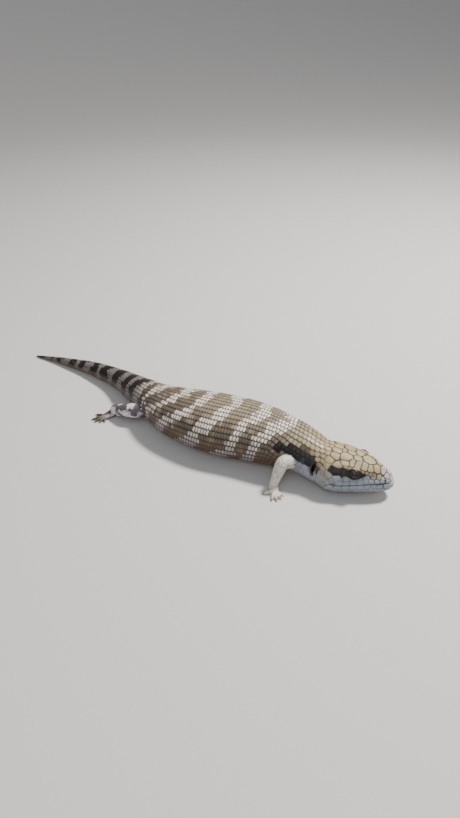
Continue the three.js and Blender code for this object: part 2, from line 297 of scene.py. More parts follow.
# Where the pale bands cross the back, in mm from the snout along the spine
PALE_BANDS = np.array([
    94, 119, 147, 173, 196, 222, 246, 267, 288, 311, 333, 352, 370, 386, 401, 414], float)
BAND_HALF = 5.2  # half their width on the trunk

# Where one tone turns into the next, from none to all of it: in mm from the snout
SNOUT_FADE = 14, 7
LIP_FADE = 38, 20
EYE_PATCH_AND_BROW_SHADE_FADE = 46, 54
SEAM_FADE = 60, 90
COLLAR_FADE = 62, 74
NAPE_FADE = 66, 88
PALE_SEAMS_FADE = 92, 84
TRUNK_FADE = 84, 90  # at the top line
TRUNK_FADE_LEAN = 25  # how far ahead of that it comes on the sides, per turn round
TAIL_FADE = 226, 256
# The same as fractions round from the top line
PALE_SEAMS_SIDE = 0.16, 0.22
FLANK_FADE = 0.19, 0.28
UNDER_FADE = 0.33, 0.41
THROAT_FADE = 0.36, 0.45

# Camera, light and floor. The lights' places and sizes are in metres.
CAMERA_AZIMUTH = math.radians(32.5)
CAMERA_ELEVATION = math.radians(32)
CAMERA_DISTANCE = 667.0
CAMERA_TARGET = np.array([-21.2, 47.8, 0.0])
IMAGE_HEIGHT = 818
FOCAL_PIXELS = 680
FLOOR_FLAT = 1500.0  # how far the floor is flat, and the size of the curve past it
FLOOR_CURVE = 2600.0
FLOOR_COLOUR = (0.6, 0.585, 0.56, 1)
LIGHTS = {
    "key": dict(position=(0.4, 0.65, 1.15), size=0.25, power=34, colour=(1, 0.97, 0.92)),
    "fill": dict(position=(0.5, -1.0, 0.9), size=0.9, power=5, colour=(0.9, 0.94, 1)),
}
LIT_SPOT = (0.03, 0, 0.02)  # what they are turned towards
SKY_COLOUR = (0.9, 0.93, 1, 1)
SKY_STRENGTH = 0.42


# Helpers
def unit(v):
    return v / np.linalg.norm(v, axis=-1, keepdims=True)


def smoothstep(a, b, x):
    """From 0 at a to 1 at b, whichever of them is greater."""
    t = np.clip((np.asarray(x, float) - a) / (b - a), 0, 1)
    return t * t * (3 - 2 * t)


def hill(*ratios):
    """1 where all the ratios are 0, falling away smoothly as they grow."""
    return np.exp(-sum(r * r for r in ratios))


def mix(a, b, t):
    t = np.asarray(t, float)[..., None]
    return np.asarray(a) * (1 - t) + np.asarray(b) * t


def distances(p, spots):
    """How far each point is from the nearest of some spots."""
    return np.linalg.norm(p[:, None] - np.asarray(spots), axis=2).min(1)


def read_off(table, x):
    """The second column of a table at values of its first, on straight lines between them."""
    return np.interp(x, table[:, 0], table[:, 1])


WAVES = unit(np.random.default_rng(3).normal(size=(10, 3)))
PHASES = np.random.default_rng(4).uniform(0, 2 * math.pi, 10)


def ripple(p, size, shift=0.0):
    """Smooth irregular waves through space, about -1 to 1, of the given size in mm."""
    return np.sin(p @ WAVES.T * (2 * math.pi / size) + PHASES + shift).sum(-1) / 3.2


# Colours, as sRGB shares
def tone(r, g, b):
    c = np.array([r, g, b], float)
    return np.where(c <= 0.04045, c / 12.92, ((c + 0.055) / 1.055) ** 2.4)


CROWN = tone(0.675, 0.61, 0.475)
NAPE = tone(0.62, 0.57, 0.48)
SNOUT = tone(0.68, 0.66, 0.66)
CANTHUS = tone(0.50, 0.47, 0.40)
CHEEK = tone(0.54, 0.56, 0.595)
LIP = tone(0.56, 0.585, 0.62)
JOWL = tone(0.61, 0.57, 0.54)
COLLAR = tone(0.53, 0.525, 0.56)
THROAT = tone(0.78, 0.76, 0.74)
STRIPE = tone(0.07, 0.062, 0.058)
# The stripe's dark round the eye, deepened with painted shade under the brow
EYE_PATCH_AND_BROW_SHADE = tone(0.06, 0.04, 0.045)
HEAD_SEAM = tone(0.20, 0.16, 0.125)
# Painted shade for the ear openings, nostrils, mouth line and the creases round the eyes
PAINTED_PIT_SHADE = tone(0.07, 0.05, 0.05)
BACK_BROWN = tone(0.44, 0.39, 0.34)
BACK_TAN = tone(0.62, 0.565, 0.48)
BACK_PALE = tone(0.94, 0.885, 0.83)
FLANK_TAN = tone(0.39, 0.31, 0.245)
FLANK_LILAC = tone(0.66, 0.61, 0.63)
BELLY = tone(0.82, 0.76, 0.66)
DARK_EDGE = tone(0.10, 0.085, 0.08)
TAIL_DARK = tone(0.13, 0.11, 0.105)
TAIL_PALE = tone(0.49, 0.45, 0.44)
TAIL_UNDER = tone(0.38, 0.31, 0.26)
FORELEG = tone(0.90, 0.875, 0.84)
DIGIT = tone(0.92, 0.86, 0.81)
HINDLEG = tone(0.40, 0.365, 0.39)
HINDLEG_PALE = tone(0.92, 0.89, 0.91)
CLAW_DARK = tone(0.24, 0.19, 0.16)
CLAW_TIP = tone(0.62, 0.54, 0.46)
IRIS_INNER = tone(0.22, 0.14, 0.105)
IRIS_OUTER = tone(0.13, 0.085, 0.075)
IRIS_DARK = tone(0.11, 0.07, 0.06)
PUPIL_BLACK = tone(0.03, 0.025, 0.025)

# The body's form
FORWARD = np.array([
    math.cos(HEAD_DROP) * math.cos(HEAD_TURN),
    math.cos(HEAD_DROP) * math.sin(HEAD_TURN),
    -math.sin(HEAD_DROP),
])
UP = np.array([0.0, 0.0, 1.0])
HEAD_LEFT = unit(np.cross(UP, FORWARD))
HEAD_UP = np.cross(FORWARD, HEAD_LEFT)


def on_head(behind, left, up):
    return EAR_LEVEL + (HEAD_LENGTH - behind) * FORWARD + left * HEAD_LEFT + up * HEAD_UP


def head_coordinates(p):
    """How far points are behind the snout, to the left of the head's axis and above it."""
    q = p - EAR_LEVEL
    return HEAD_LENGTH - q @ FORWARD, q @ HEAD_LEFT, q @ HEAD_UP


SECTIONS = np.array([(*on_head(s[0], 0, 0), *s[1:]) for s in HEAD_SECTIONS] + BODY_SECTIONS, float)
LAST = len(SECTIONS) - 1


def sections_at(place):
    """The cross-section at a place in the list such as 3.25, on a smooth curve through it."""
    place = np.clip(np.asarray(place, float), 0, LAST)
    i = np.minimum(place.astype(int), LAST - 1)
    t = (place - i)[..., None]
    a, b, c, d = (SECTIONS[np.clip(i + k, 0, LAST)] for k in (-1, 0, 1, 2))
    return b + 0.5 * t * (c - a + t * (2 * a - 5 * b + 4 * c - d + t * (3 * (b - c) + d - a)))


def body_rings(place, angle, grow):
    """Points of the body's rings: a row for each place, a column for each angle."""
    row = sections_at(place)
    ahead = unit(sections_at(place - 0.02)[:, :3] - sections_at(place + 0.02)[:, :3])
    left = unit(np.cross(UP, ahead))
    up = np.cross(ahead, left)
    half, rise, fall, boxy, taper = (row[:, k, None] for k in (3, 4, 5, 6, 7))
    c, s = np.cos(angle)[None], np.sin(angle)[None]
    high = np.sign(s) * np.abs(s) ** (2 / boxy)
    narrowing = 1 - taper * np.maximum(high, 0) ** 2
    across = np.sign(c) * np.abs(c) ** (2 / boxy) * narrowing * (half + grow[:, None])
    lift = high * (np.where(s > 0, rise, fall) + grow[:, None])
    rings = row[:, None, :3] + across[..., None] * left[:, None] + lift[..., None] * up[:, None]
    rings[..., 2] = np.maximum(rings[..., 2], SKIN_FLOOR)
    return rings


def doming(ring, inner, depth):
    """Rings that close an end, the widest first."""
    middle = ring.mean(0)
    out = unit(middle - inner.mean(0)) * depth
    return [middle + (ring - middle) * math.cos(a) + out * math.sin(a) for a in DOME_ANGLES]


class Tube:
    """A surface as rings along an axis, evenly spaced points round each from its top.

    A place on it is how far down the axis it lies, and which fraction of the way round,
    from -0.5 to 0.5, positive to the right when looking forward from behind. run is the way
    over the surface to each of its points from the ring at the anchor, a place on the axis.
    """

    def __init__(self, rings, along, around=144, anchor=0.0):
        closed = np.concatenate([rings, rings[:, :1]], 1)
        steps = np.linalg.norm(np.diff(closed, axis=1), axis=2)
        lengths = np.concatenate([np.zeros((len(rings), 1)), np.cumsum(steps, 1)], 1)
        self.girth = lengths[:, -1]
        self.along = along
        self.around = around
        self.points = np.empty((len(rings), around, 3))
        for i, length in enumerate(lengths):
            wanted = np.arange(around) / around * length[-1]
            for k in range(3):
                self.points[i, :, k] = np.interp(wanted, length, closed[i, :, k])
        down = np.gradient(self.points, axis=0)
        round_ = np.roll(self.points, -1, 1) - np.roll(self.points, 1, 1)
        self.normals = unit(np.cross(down, round_) + 1e-9)
        steps = np.linalg.norm(np.diff(self.points, axis=0), axis=2)
        self.run = np.concatenate([np.zeros((1, around)), np.cumsum(steps, 0)])
        self.run -= self.run[np.searchsorted(along, anchor)]

    def girth_at(self, s):
        return np.interp(s, self.along, self.girth)

    def pitch_at(self, s, around):
        """How wide scales are where that many go round, or round half its thickest part."""
        return np.maximum(self.girth_at(s), 0.5 * self.girth.max()) / around

    def reached(self, run, f):
        """How far down the axis places lie, from their way over the surface past the anchor."""
        column = f % 1 * self.around
        first = column.astype(int) % self.around
        part = column - np.floor(column)
        s = np.zeros(np.shape(run))
        for c in np.unique(first):
            here = first == c
            for k, share in ((c, 1 - part[here]), ((c + 1) % self.around, part[here])):
                s[here] += share * np.interp(run[here], self.run[:, k], self.along)
        return s

    def way_at(self, s):
        """The direction down the axis at distances s."""
        steps = np.gradient(self.points.mean(1), axis=0)
        return unit(np.column_stack([np.interp(s, self.along, step) for step in steps.T]))

    def sample(self, s, f):
        """Points and outward normals at distances s down the axis and fractions f round it."""
        row = np.interp(s, self.along, np.arange(len(self.along)))
        i = np.minimum(row.astype(int), len(self.along) - 2)
        tr = (row - i)[..., None]
        column = (f % 1) * self.around
        j = column.astype(int) % self.around
        tc = (column - np.floor(column))[..., None]
        k = (j + 1) % self.around

        def blend(grid):
            near = grid[i, j] * (1 - tc) + grid[i, k] * tc
            far = grid[i + 1, j] * (1 - tc) + grid[i + 1, k] * tc
            return near * (1 - tr) + far * tr

        return blend(self.points), unit(blend(self.normals))


def body_tube():
    fine = np.linspace(0, LAST, 6000)
    spine = sections_at(fine)[:, :3]
    arc = np.concatenate([[0], np.cumsum(np.linalg.norm(np.diff(spine, axis=0), axis=1))])
    along = np.arange(0, arc[-1], BODY_STEP)
    place = np.interp(along, arc, fine)
    grow = -HEAD_COAT - (BODY_COAT - HEAD_COAT) * smoothstep(*NECK_PLACES, place)
    angle = math.pi / 2 + np.linspace(0, 2 * math.pi, 361)[:-1]
    rings = body_rings(place, angle, grow)
    front = doming(rings[0], rings[1], SNOUT_DOME)[::-1]
    rear = doming(rings[-1], rings[-2], TAIL_DOME)
    rise = np.sin(DOME_ANGLES)
    along = np.concatenate([-SNOUT_DOME * rise[::-1], along, along[-1] + TAIL_DOME * rise])
    return Tube(np.concatenate([front, rings, rear]), along, anchor=ROWS_FROM)


def rounded_track(points, radii, flatness, rounding, step):
    """A path in even steps with its radius and flatness, rounded at its bends."""
    lengths = np.concatenate([[0], np.cumsum(np.linalg.norm(np.diff(points, axis=0), axis=1))])
    along = np.arange(0, lengths[-1], step)
    values = np.column_stack([points, radii, flatness])
    track = np.column_stack([np.interp(along, lengths, v) for v in values.T])
    reach = max(int(rounding / step), 1)
    padded = np.concatenate([
        2 * track[:1] - track[reach:0:-1],
        track,
        2 * track[-1:] - track[-2:-2 - reach:-1],
    ])
    kernel = np.hanning(2 * reach + 3)[1:-1]
    kernel /= kernel.sum()
    return np.column_stack([np.convolve(v, kernel, "valid") for v in padded.T])


def path_tube(points, radii, flatness, top, domes, rounding, around=48, step=0.5):
    """A tube along a path, from the radius at each point.

    domes are how far its rounded ends stand out, 0 for a flat one, and rounding how far each
    way a bend is spread.
    """
    track = rounded_track(np.array(points, float), radii, flatness, rounding, step)
    ahead = unit(np.gradient(track[:, :3], axis=0))
    side = unit(np.cross(np.array(top, float), ahead))
    rise = np.cross(ahead, side)
    angle = np.linspace(0, 2 * math.pi, 73)[:-1]
    radius, flat = track[:, 3, None, None], track[:, 4, None, None]
    across, lift = np.sin(angle)[None, :, None], np.cos(angle)[None, :, None]
    rings = track[:, None, :3] + radius * (across * side[:, None] + flat * lift * rise[:, None])
    if domes[0]:
        rings = np.concatenate([doming(rings[0], rings[1], domes[0])[::-1], rings])
    rings = np.concatenate([rings, doming(rings[-1], rings[-2], domes[1])])
    rings[..., 2] = np.maximum(rings[..., 2], SKIN_FLOOR / 2)
    steps = np.linalg.norm(np.diff(rings, axis=0), axis=2).mean(1)
    return Tube(rings, np.concatenate([[0], np.cumsum(steps)]), around)


def heading(degrees):
    return np.array([math.cos(math.radians(degrees)), math.sin(math.radians(degrees)), 0.0])


def leg_tube(leg):
    root, bend, end = (np.array(leg[k], float) for k in ("root", "bend", "end"))
    thick, middle, thin = leg["radii"]
    points = [root, bend, bend * 0.4 + end * 0.6, end]
    radii = np.array([thick, middle, middle * 0.45 + thin * 0.55, thin]) - LIMB_COAT
    return path_tube(points, radii, LEG_FLATNESS, leg["top"], (0, ANKLE_DOME), 6)


def foot_places(leg):
    """The heel, the ball of the foot, and each digit's knuckle, tip and heading."""
    foot = FEET[leg["foot"]]
    heel = np.array(leg["end"], float)
    heel[2] = foot["heel"] * HEEL_LIFT
    ball = heel + heading(leg["turn"]) * foot["palm"]
    ball[2] = foot["ball"] * BALL_LIFT
    digits = []
    for spread, long in foot["digits"]:
        way = heading(leg["turn"] + leg["side"] * spread)
        knuckle = ball + way * DIGIT_REACH
        tip = knuckle + way * long
        knuckle[2] = KNUCKLE_RADIUS * KNUCKLE_LIFT
        tip[2] = DIGIT_END_RADIUS * TIP_LIFT
        digits.append((knuckle, tip, way))
    return heel, ball, digits


def sole_tube(leg):
    foot = FEET[leg["foot"]]
    heel, ball, _ = foot_places(leg)
    wrist = np.array(leg["end"], float) - heading(leg["turn"]) * WRIST_BACK
    front = ball + heading(leg["turn"]) * foot["ball"] * 0.5
    radii = np.array([foot["heel"] * 0.95, foot["heel"], foot["ball"] * 1.25, foot["ball"] * 0.9])
    return path_tube([wrist, heel, ball, front], radii - LIMB_COAT, SOLE_FLATNESS, UP, SOLE_DOMES, 2)


def digit_tubes(leg):
    _, ball, digits = foot_places(leg)
    radii = np.array([KNUCKLE_RADIUS, KNUCKLE_RADIUS * 0.95, DIGIT_ARCH_RADIUS, DIGIT_END_RADIUS])
    tubes = []
    for knuckle, tip, way in digits:
        arch = knuckle * 0.45 + tip * 0.55
        arch[2] = KNUCKLE_RADIUS + DIGIT_ARCH
        points = [ball * 0.6 + knuckle * 0.4, knuckle, arch, tip + way * 0.4]
        tubes.append(path_tube(
            points, radii - DIGIT_COAT, DIGIT_FLATNESS, UP, (0, DIGIT_DOME), 1, around=32, step=0.3))
    return tubes


def tree_of(points):
    tree = KDTree(len(points))
    for i, point in enumerate(points):
        tree.insert(point, i)
    tree.balance()
    return tree


class Finder:
    """Finds the nearest place on some tubes."""

    def __init__(self, tubes):
        self.tubes = tubes
        self.points = np.concatenate([t.points.reshape(-1, 3) for t in tubes])
        self.normals = np.concatenate([t.normals.reshape(-1, 3) for t in tubes])
        self.owner = np.concatenate([np.full(t.points[..., 0].size, k) for k, t in enumerate(tubes)])
        self.s = np.concatenate([np.repeat(t.along, t.around) for t in tubes])
        self.f = np.concatenate([np.tile(np.arange(t.around) / t.around, len(t.along)) for t in tubes])
        self.f = np.where(self.f > 0.5, self.f - 1, self.f)
        self.tree = tree_of(self.points)

    def nearest(self, points):
        return np.array([self.tree.find(p)[1] for p in points])

    def depth(self, points):
        """How far inside the nearest tube's surface points lie."""
        hit = self.nearest(points)
        return ((self.points[hit] - points) * self.normals[hit]).sum(1)


body = body_tube()
legs = {name: leg_tube(leg) for name, leg in LEGS.items()}
soles = {name: sole_tube(leg) for name, leg in LEGS.items()}
digits = {name: digit_tubes(leg) for name, leg in LEGS.items()}
on_trunk = Finder([body])


# The head's relief
EYE_CENTRES = {side: on_head(EYE_PLACE[0], side * EYE_PLACE[1], EYE_PLACE[2]) for side in (1, -1)}


def eye_axes(side):
    """The way an eye looks, with the directions forward and up across it."""
    forward, out, up = EYE_LOOKS
    looks = unit(forward * FORWARD + out * side * HEAD_LEFT + up * HEAD_UP)
    rise = unit(HEAD_UP - (HEAD_UP @ looks) * looks)
    return looks, unit(FORWARD - (FORWARD @ looks) * looks), rise


def eye_view(p, side):
    """How far points are from an eye's centre, if they are before it, and 1 on the lids' edge."""
    looks, ahead, rise = eye_axes(side)
    d = p - EYE_CENTRES[side]
    out = d @ looks
    ahead, rise = np.arctan2(d @ ahead, out), np.arctan2(d @ rise, out)
    opening = np.hypot(ahead / EYE_OPENING[0], rise / EYE_OPENING[1])
    return np.linalg.norm(d, axis=-1), out > 0, opening


def lids(p, n, side):
    """Moves points near an eye onto its lids, or behind the ball where the lids are open."""
    r, before, opening = eye_view(p, side)
    before &= r < 3 * LID_RADIUS
    blend = np.clip(1 - np.abs(r - LID_RADIUS) / 1.4, 0, 1)
    lid = np.maximum(r, LID_RADIUS) + 0.35 * blend ** 2 + 0.3 * hill((opening - 1.16) / 0.14)
    inside = smoothstep(1.05, 0.9, opening)
    radius = lid * (1 - inside) + (EYE_RADIUS - 0.8) * inside
    out = (p - EYE_CENTRES[side]) / r[..., None]
    on_lid = smoothstep(LID_RADIUS + 1.2, LID_RADIUS - 0.4, r) * before
    p = np.where(before[..., None], EYE_CENTRES[side] + out * radius[..., None], p)
    return p, unit(mix(n, out, on_lid))


def mouth_height(p):
    """How far points are above the line of the mouth."""
    t, _, u = head_coordinates(p)
    return u - read_off(MOUTH_LINE, t)


def ear_distance(p):
    """1 on the rim of the nearer ear's opening, less inside it."""
    t, l, u = head_coordinates(p)
    far = np.hypot((t - EAR_PLACE[0]) / EAR_HALF[0], (u - EAR_PLACE[2]) / EAR_HALF[1])
    return far + 10 * (np.abs(l) < EAR_PLACE[1] / 2)


def nostril_distance(p):
    t, l, u = head_coordinates(p)
    back, out, up = NOSTRIL_PLACE
    return np.sqrt((t - back) ** 2 + (np.abs(l) - out) ** 2 + (u - up) ** 2) / NOSTRIL_RADIUS


def head_relief(p, n):
    """Moves points of the plain head onto its brows, cheeks, lips, lids and the ears' rims.

    Each hill or hollow is where its ratios are 0, and as high or deep in mm as its factor.
    """
    t, l, u = head_coordinates(p)
    side = np.abs(l)
    mouth = mouth_height(p)
    lipped = smoothstep(MOUTH_END + 2, MOUTH_END - 2, t)
    brow = hill(
        (side - read_off(BROW_LINE, t)) / 2.6,
        (u - read_off(BROW_LINE[:, ::2], t)) / 2.6)
    lift = (
        0.8 * brow * smoothstep(13, 20, t) * smoothstep(47, 40, t)
        + 0.5 * hill((t - 29) / 8, (side - 7) / 3, (u - 18) / 5)  # the crown over the eyes
        - 0.4 * hill((t - 26) / 9, side / 3, (u - 18) / 5)  # the crown's middle
        - 0.9 * hill((t - 17) / 5.5, (u - 9.5) / 2.8) * smoothstep(4, 8, side)  # before the eyes
        + 1.1 * hill((t - 50) / 8, (u + 1) / 6)  # the jowls
        - 0.7 * hill((t - 43) / 4.5, (u - 8) / 3.5)  # behind the eyes
        + 0.35 * hill((mouth - 1.6) / 1.3) * lipped  # the upper lip
        + 0.25 * hill((mouth + 1.7) / 1.4) * lipped  # the lower lip
        - 0.6 * hill(mouth / 0.45) * lipped  # the line between them
        + 0.3 * hill((ear_distance(p) - 1.3) / 0.3)
    )
    p = p + lift[..., None] * n
    for eye in (1, -1):
        p, n = lids(p, n, eye)
    return p, n


def with_pits(p, n):
    """Moves points of the head's relief into its ears and nostrils."""
    inward = -EAR_DEPTH * smoothstep(1.05, 0.5, ear_distance(p)) * np.sign(head_coordinates(p)[1])
    nostril = -NOSTRIL_DEPTH * smoothstep(1.15, 0.3, nostril_distance(p))
    return p + inward[..., None] * HEAD_LEFT + nostril[..., None] * n


def on_body(s, f):
    """Points and normals on the body with the head's relief."""
    p, n = body.sample(s, f)
    near = s < HEAD_ZONE
    if near.any():
        p[near], n[near] = head_relief(p[near], n[near])
    return p, n


# Markings. Places are s mm from the snout down the spine, a fraction f round, and at point p.
def from_top(s, f, p):
    """How far places are from the top line, unevenly, which makes the markings' edges ragged."""
    return np.abs(f) * body.girth_at(s) + 0.5 * ripple(p, 7)


def banding(s, f, p):
    """1 in the middle of a pale band, 0 between them. The bands slant back down the sides."""
    side = 4 * np.abs(f)
    lean = np.where(f > 0, 17 + 12 * smoothstep(120, 200, s), 11) * side ** 1.2
    lean = lean * smoothstep(250, 215, s)
    at = s - lean + 1.8 * ripple(p, 30) + 1.5 * ripple(p, 8, 1.0)
    off = np.abs(at[..., None] - PALE_BANDS).min(-1)
    low = smoothstep(0.21, 0.28, np.abs(f)) * smoothstep(235, 210, s)
    half = BAND_HALF - 1.6 * smoothstep(250, 390, s) + 1.1 * ripple(p, 17, 2.0) + 1.6 * low
    broken = smoothstep(195, 210, s) * smoothstep(245, 230, s)
    half -= 2.2 * smoothstep(0.0, 0.8, ripple(p, 14, 5.0)) * broken
    return smoothstep(half + 0.5, half - 0.5, off)


def trunk_tint(s, f, p):
    """Colours of the trunk and tail, with painted sunlight on the top of the back, and how dark a scale is
    along its sides and its rim.
    """
    far = np.abs(f)
    pale = banding(s, f, p)
    flank = smoothstep(*FLANK_FADE, far)
    under = smoothstep(*UNDER_FADE, far)
    tail = smoothstep(*TAIL_FADE, s)
    # Painted sunlight: the top of the back, ahead of the hips, is paler tan as if lit from above. The next
    # line joins it with the back's real tan mottling.
    painted_sunlight = 0.75 * smoothstep(0.17, 0.05, far) * smoothstep(200, 150, s)
    tan_and_sunlight = np.maximum(painted_sunlight, 0.8 * smoothstep(0.35, 0.8, ripple(p, 13, 3.0)))
    back = mix(BACK_BROWN, BACK_TAN, tan_and_sunlight)
    brown = mix(mix(back, FLANK_TAN, flank), mix(TAIL_DARK, TAIL_UNDER, flank), tail)
    light = mix(mix(BACK_PALE, FLANK_LILAC, flank), TAIL_PALE * np.ones_like(brown), tail)
    base = mix(brown, light, pale)
    base = mix(base, BELLY, under * (0.85 - 0.25 * tail))
    edged = hill((far - 0.24) / 0.055)
    lateral = (1 - pale) * (0.85 - 0.5 * flank) + pale * (0.85 + 0.15 * edged)
    rim = pale * (0.8 + 0.2 * edged) + (1 - pale) * 0.4
    plain = (1 - under) * (1 - 0.5 * tail)
    return base, lateral * plain, rim * plain


def neck_tint(s, f, p):
    """Colours of the head and neck as far as the first pale band."""
    across = from_top(s, f, p)
    crown = mix(CROWN, SNOUT, smoothstep(*SNOUT_FADE, s))
    crown = mix(crown, CANTHUS, 0.6 * hill((s - 14.5) / 3.5, (across - 11) / 3))
    crown = mix(crown, CANTHUS, 0.35 * smoothstep(0.1, 1.2, ripple(p, 6, 4.0)) * smoothstep(70, 50, s))
    crown = mix(crown, NAPE, smoothstep(*NAPE_FADE, s))
    side = mix(mix(CHEEK, LIP, smoothstep(*LIP_FADE, s)), JOWL, hill((s - 52) / 7, (across - 27) / 7))
    side = mix(side, COLLAR, smoothstep(*COLLAR_FADE, s))
    side = mix(side, THROAT, smoothstep(*THROAT_FADE, np.abs(f)))
    edge = read_off(SIDE_EDGE, s)
    low = smoothstep(edge - 1, edge + 1, across)
    seams = (0.35 + 0.65 * smoothstep(46, 56, s)) * (1 - low)
    return mix(crown, side, low), seams, 0.1 + 0.2 * (1 - low)


def seam_tint(base, s, f):
    """Colours of the seams between scales, which are faint on the grey sides of the neck."""
    faint = 0.85 * smoothstep(*PALE_SEAMS_FADE, s) * smoothstep(*PALE_SEAMS_SIDE, np.abs(f))
    return mix(mix(HEAD_SEAM, DARK_EDGE, smoothstep(*SEAM_FADE, s)), base * 0.55, faint)


def stripe(s, f, p):
    """1 on the dark stripe, and round the ears, where the stripe's dark is widened with painted shade of
    the openings.
    """
    middle, half = read_off(STRIPE_LINE, s), read_off(STRIPE_LINE[:, ::2], s)
    return np.maximum(
        0.96 * smoothstep(0.6, -0.6, np.abs(from_top(s, f, p) - middle) - half),
        # round the ears: the stripe's dark with painted shade of the opening
        0.9 * smoothstep(1.6, 1.25, ear_distance(p)))


def body_tint(s, f, p):
    """Colours anywhere on the body, with the darkness of a scale's sides and rim."""
    back = smoothstep(*TRUNK_FADE, s + TRUNK_FADE_LEAN * np.abs(f))
    fore, hind = neck_tint(s, f, p), trunk_tint(s, f, p)
    base = fore[0] * (1 - back)[..., None] + hind[0] * back[..., None]
    # Round the eye the stripe's dark is deepened with painted shade under the brow; further back it is the
    # plain stripe.
    base = mix(base, mix(EYE_PATCH_AND_BROW_SHADE, STRIPE, smoothstep(*EYE_PATCH_AND_BROW_SHADE_FADE, s)), stripe(s, f, p))
    return base, fore[1] * (1 - back) + hind[1] * back, fore[2] * (1 - back) + hind[2] * back


def leg_tint(name, along, p):
    """Colours of a leg, from its root at 0 to its digits at 1."""
    if name.startswith("fore"):
        base = mix(FORELEG * 0.92, DIGIT, smoothstep(0.3, 0.95, along))
        flecks = smoothstep(1.1, 1.4, ripple(p, 4)) * 0.4
        return mix(base, BACK_BROWN, flecks), 0.12, 0.1
    blotch = smoothstep(-0.15, 0.3, ripple(p, 11, 2.0)) * smoothstep(0.95, 0.6, along)
    base = mix(mix(HINDLEG, BACK_BROWN, smoothstep(0.6, 1, along)), HINDLEG_PALE, blotch)
    return base, 0.4, 0.35


# Meshes
def frame_shift():
    """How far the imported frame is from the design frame, in mm, by the right eye's box."""
    low, high = (np.array(c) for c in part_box("eye_right"))
    shift = (low + high) / 2 / MM - EYE_CENTRES[-1]
    return shift * (1, 1, 0)


SHIFT = frame_shift()


def new_object(name, mesh):
    obj = bpy.data.objects.new(name, mesh)
    bpy.context.scene.collection.objects.link(obj)
    return obj


def add_mesh(name, points, *faces):
    """A smooth mesh from points in mm in the design frame, and arrays of equal-sided faces."""
    mesh = bpy.data.meshes.new(name)
    corners = np.concatenate([f.ravel() for f in faces])
    sizes = np.concatenate([np.full(len(f), f.shape[1]) for f in faces])
    starts = np.concatenate([[0], np.cumsum(sizes)[:-1]])
    mesh.vertices.add(len(points))
    mesh.loops.add(len(corners))
    mesh.polygons.add(len(sizes))
    set_points(mesh, points)
    mesh.loops.foreach_set("vertex_index", corners.astype(np.int32))
    mesh.polygons.foreach_set("loop_start", starts.astype(np.int32))
    mesh.polygons.foreach_set("use_smooth", np.ones(len(sizes), bool))
    mesh.update(calc_edges=True)
    return new_object(name, mesh)


def mesh_points(mesh):
    co = np.empty(len(mesh.vertices) * 3, np.float32)
    mesh.vertices.foreach_get("co", co)
    return co.reshape(-1, 3).astype(float) / MM - SHIFT


def set_points(mesh, points):
    mesh.vertices.foreach_set("co", ((points + SHIFT) * MM).astype(np.float32).ravel())


def set_colours(mesh, colours):
    layer = mesh.color_attributes.new("tint", "FLOAT_COLOR", "POINT")
    rgba = np.ones((len(mesh.vertices), 4), np.float32)
    rgba[:, :3] = colours
    layer.data.foreach_set("color", rgba.ravel())


def set_bake_map(mesh, places):
    """A UV map from each point's place on the unwrap."""
    corners = np.empty(len(mesh.loops), np.int32)
    mesh.loops.foreach_get("vertex_index", corners)
    layer = mesh.uv_layers.new(name="OFBake")
    layer.data.foreach_set("uv", places[corners].astype(np.float32).ravel())


def closed_tube(points):
    """Points and quads of a grid of rings, and the two many-sided faces that shut it."""
    index = np.arange(points[..., 0].size).reshape(points.shape[:2])
    a, b = index[:-1], index[1:]
    quads = np.stack([a, b, np.roll(b, -1, 1), np.roll(a, -1, 1)], -1).reshape(-1, 4)
    return points.reshape(-1, 3), quads, index[:1], index[-1:, ::-1]


def applied(obj, kind, **settings):
    """Applies one modifier to an object's mesh."""
    modifier = obj.modifiers.new(kind, kind)
    for key, value in settings.items():
        setattr(modifier, key, value)
    made = bpy.data.meshes.new_from_object(obj.evaluated_get(bpy.context.evaluated_depsgraph_get()))
    obj.modifiers.clear()
    obj.data = made


def relax(mesh, points, weight, times):
    """Moves each point towards the middle of its neighbours, by its own weight."""
    edges = np.empty(len(mesh.edges) * 2, np.int32)
    mesh.edges.foreach_get("vertices", edges)
    a, b = edges.reshape(-1, 2).T
    n = len(points)
    count = np.bincount(a, minlength=n) + np.bincount(b, minlength=n)
    for _ in range(times):
        total = np.column_stack([
            np.bincount(a, points[b, k], n) + np.bincount(b, points[a, k], n) for k in range(3)])
        points = points + weight[:, None] * (total / count[:, None] - points)
    return points


def joined(parts):
    """Points, quads and ends of several closed tubes as those of one mesh."""
    starts = np.cumsum([0] + [len(points) for points, *_ in parts[:-1]])
    points = np.concatenate([part[0] for part in parts])
    quads = np.concatenate([part[1] + start for part, start in zip(parts, starts)])
    return points, quads, *(end + start for part, start in zip(parts, starts) for end in part[2:])


def tree_of_faces(mesh):
    return BVHTree.FromPolygons(mesh_points(mesh), [face.vertices[:] for face in mesh.polygons])


# The skin
def rough_skin():
    """All the tubes melted into one closed surface."""
    skin = add_mesh("skin", *joined([closed_tube(tube.points) for tube in all_tubes()]))
    applied(skin, "REMESH", mode="VOXEL", voxel_size=VOXEL * MM, adaptivity=0)
    return skin


def near_head_detail(p, reach):
    """Which points are near an eye, an ear's rim, a nostril or the mouth."""
    t = head_coordinates(p)[0]
    eyes = distances(p, [*EYE_CENTRES.values()]) < EYE_RADIUS + 0.8 + reach
    ear = ear_distance(p) < 1.2 + reach / 3
    nostril = nostril_distance(p) < 1.5 + reach
    mouth = (np.abs(mouth_height(p)) < 0.6 + reach / 3) & (t < MOUTH_END)
    return eyes | ear | nostril | mouth


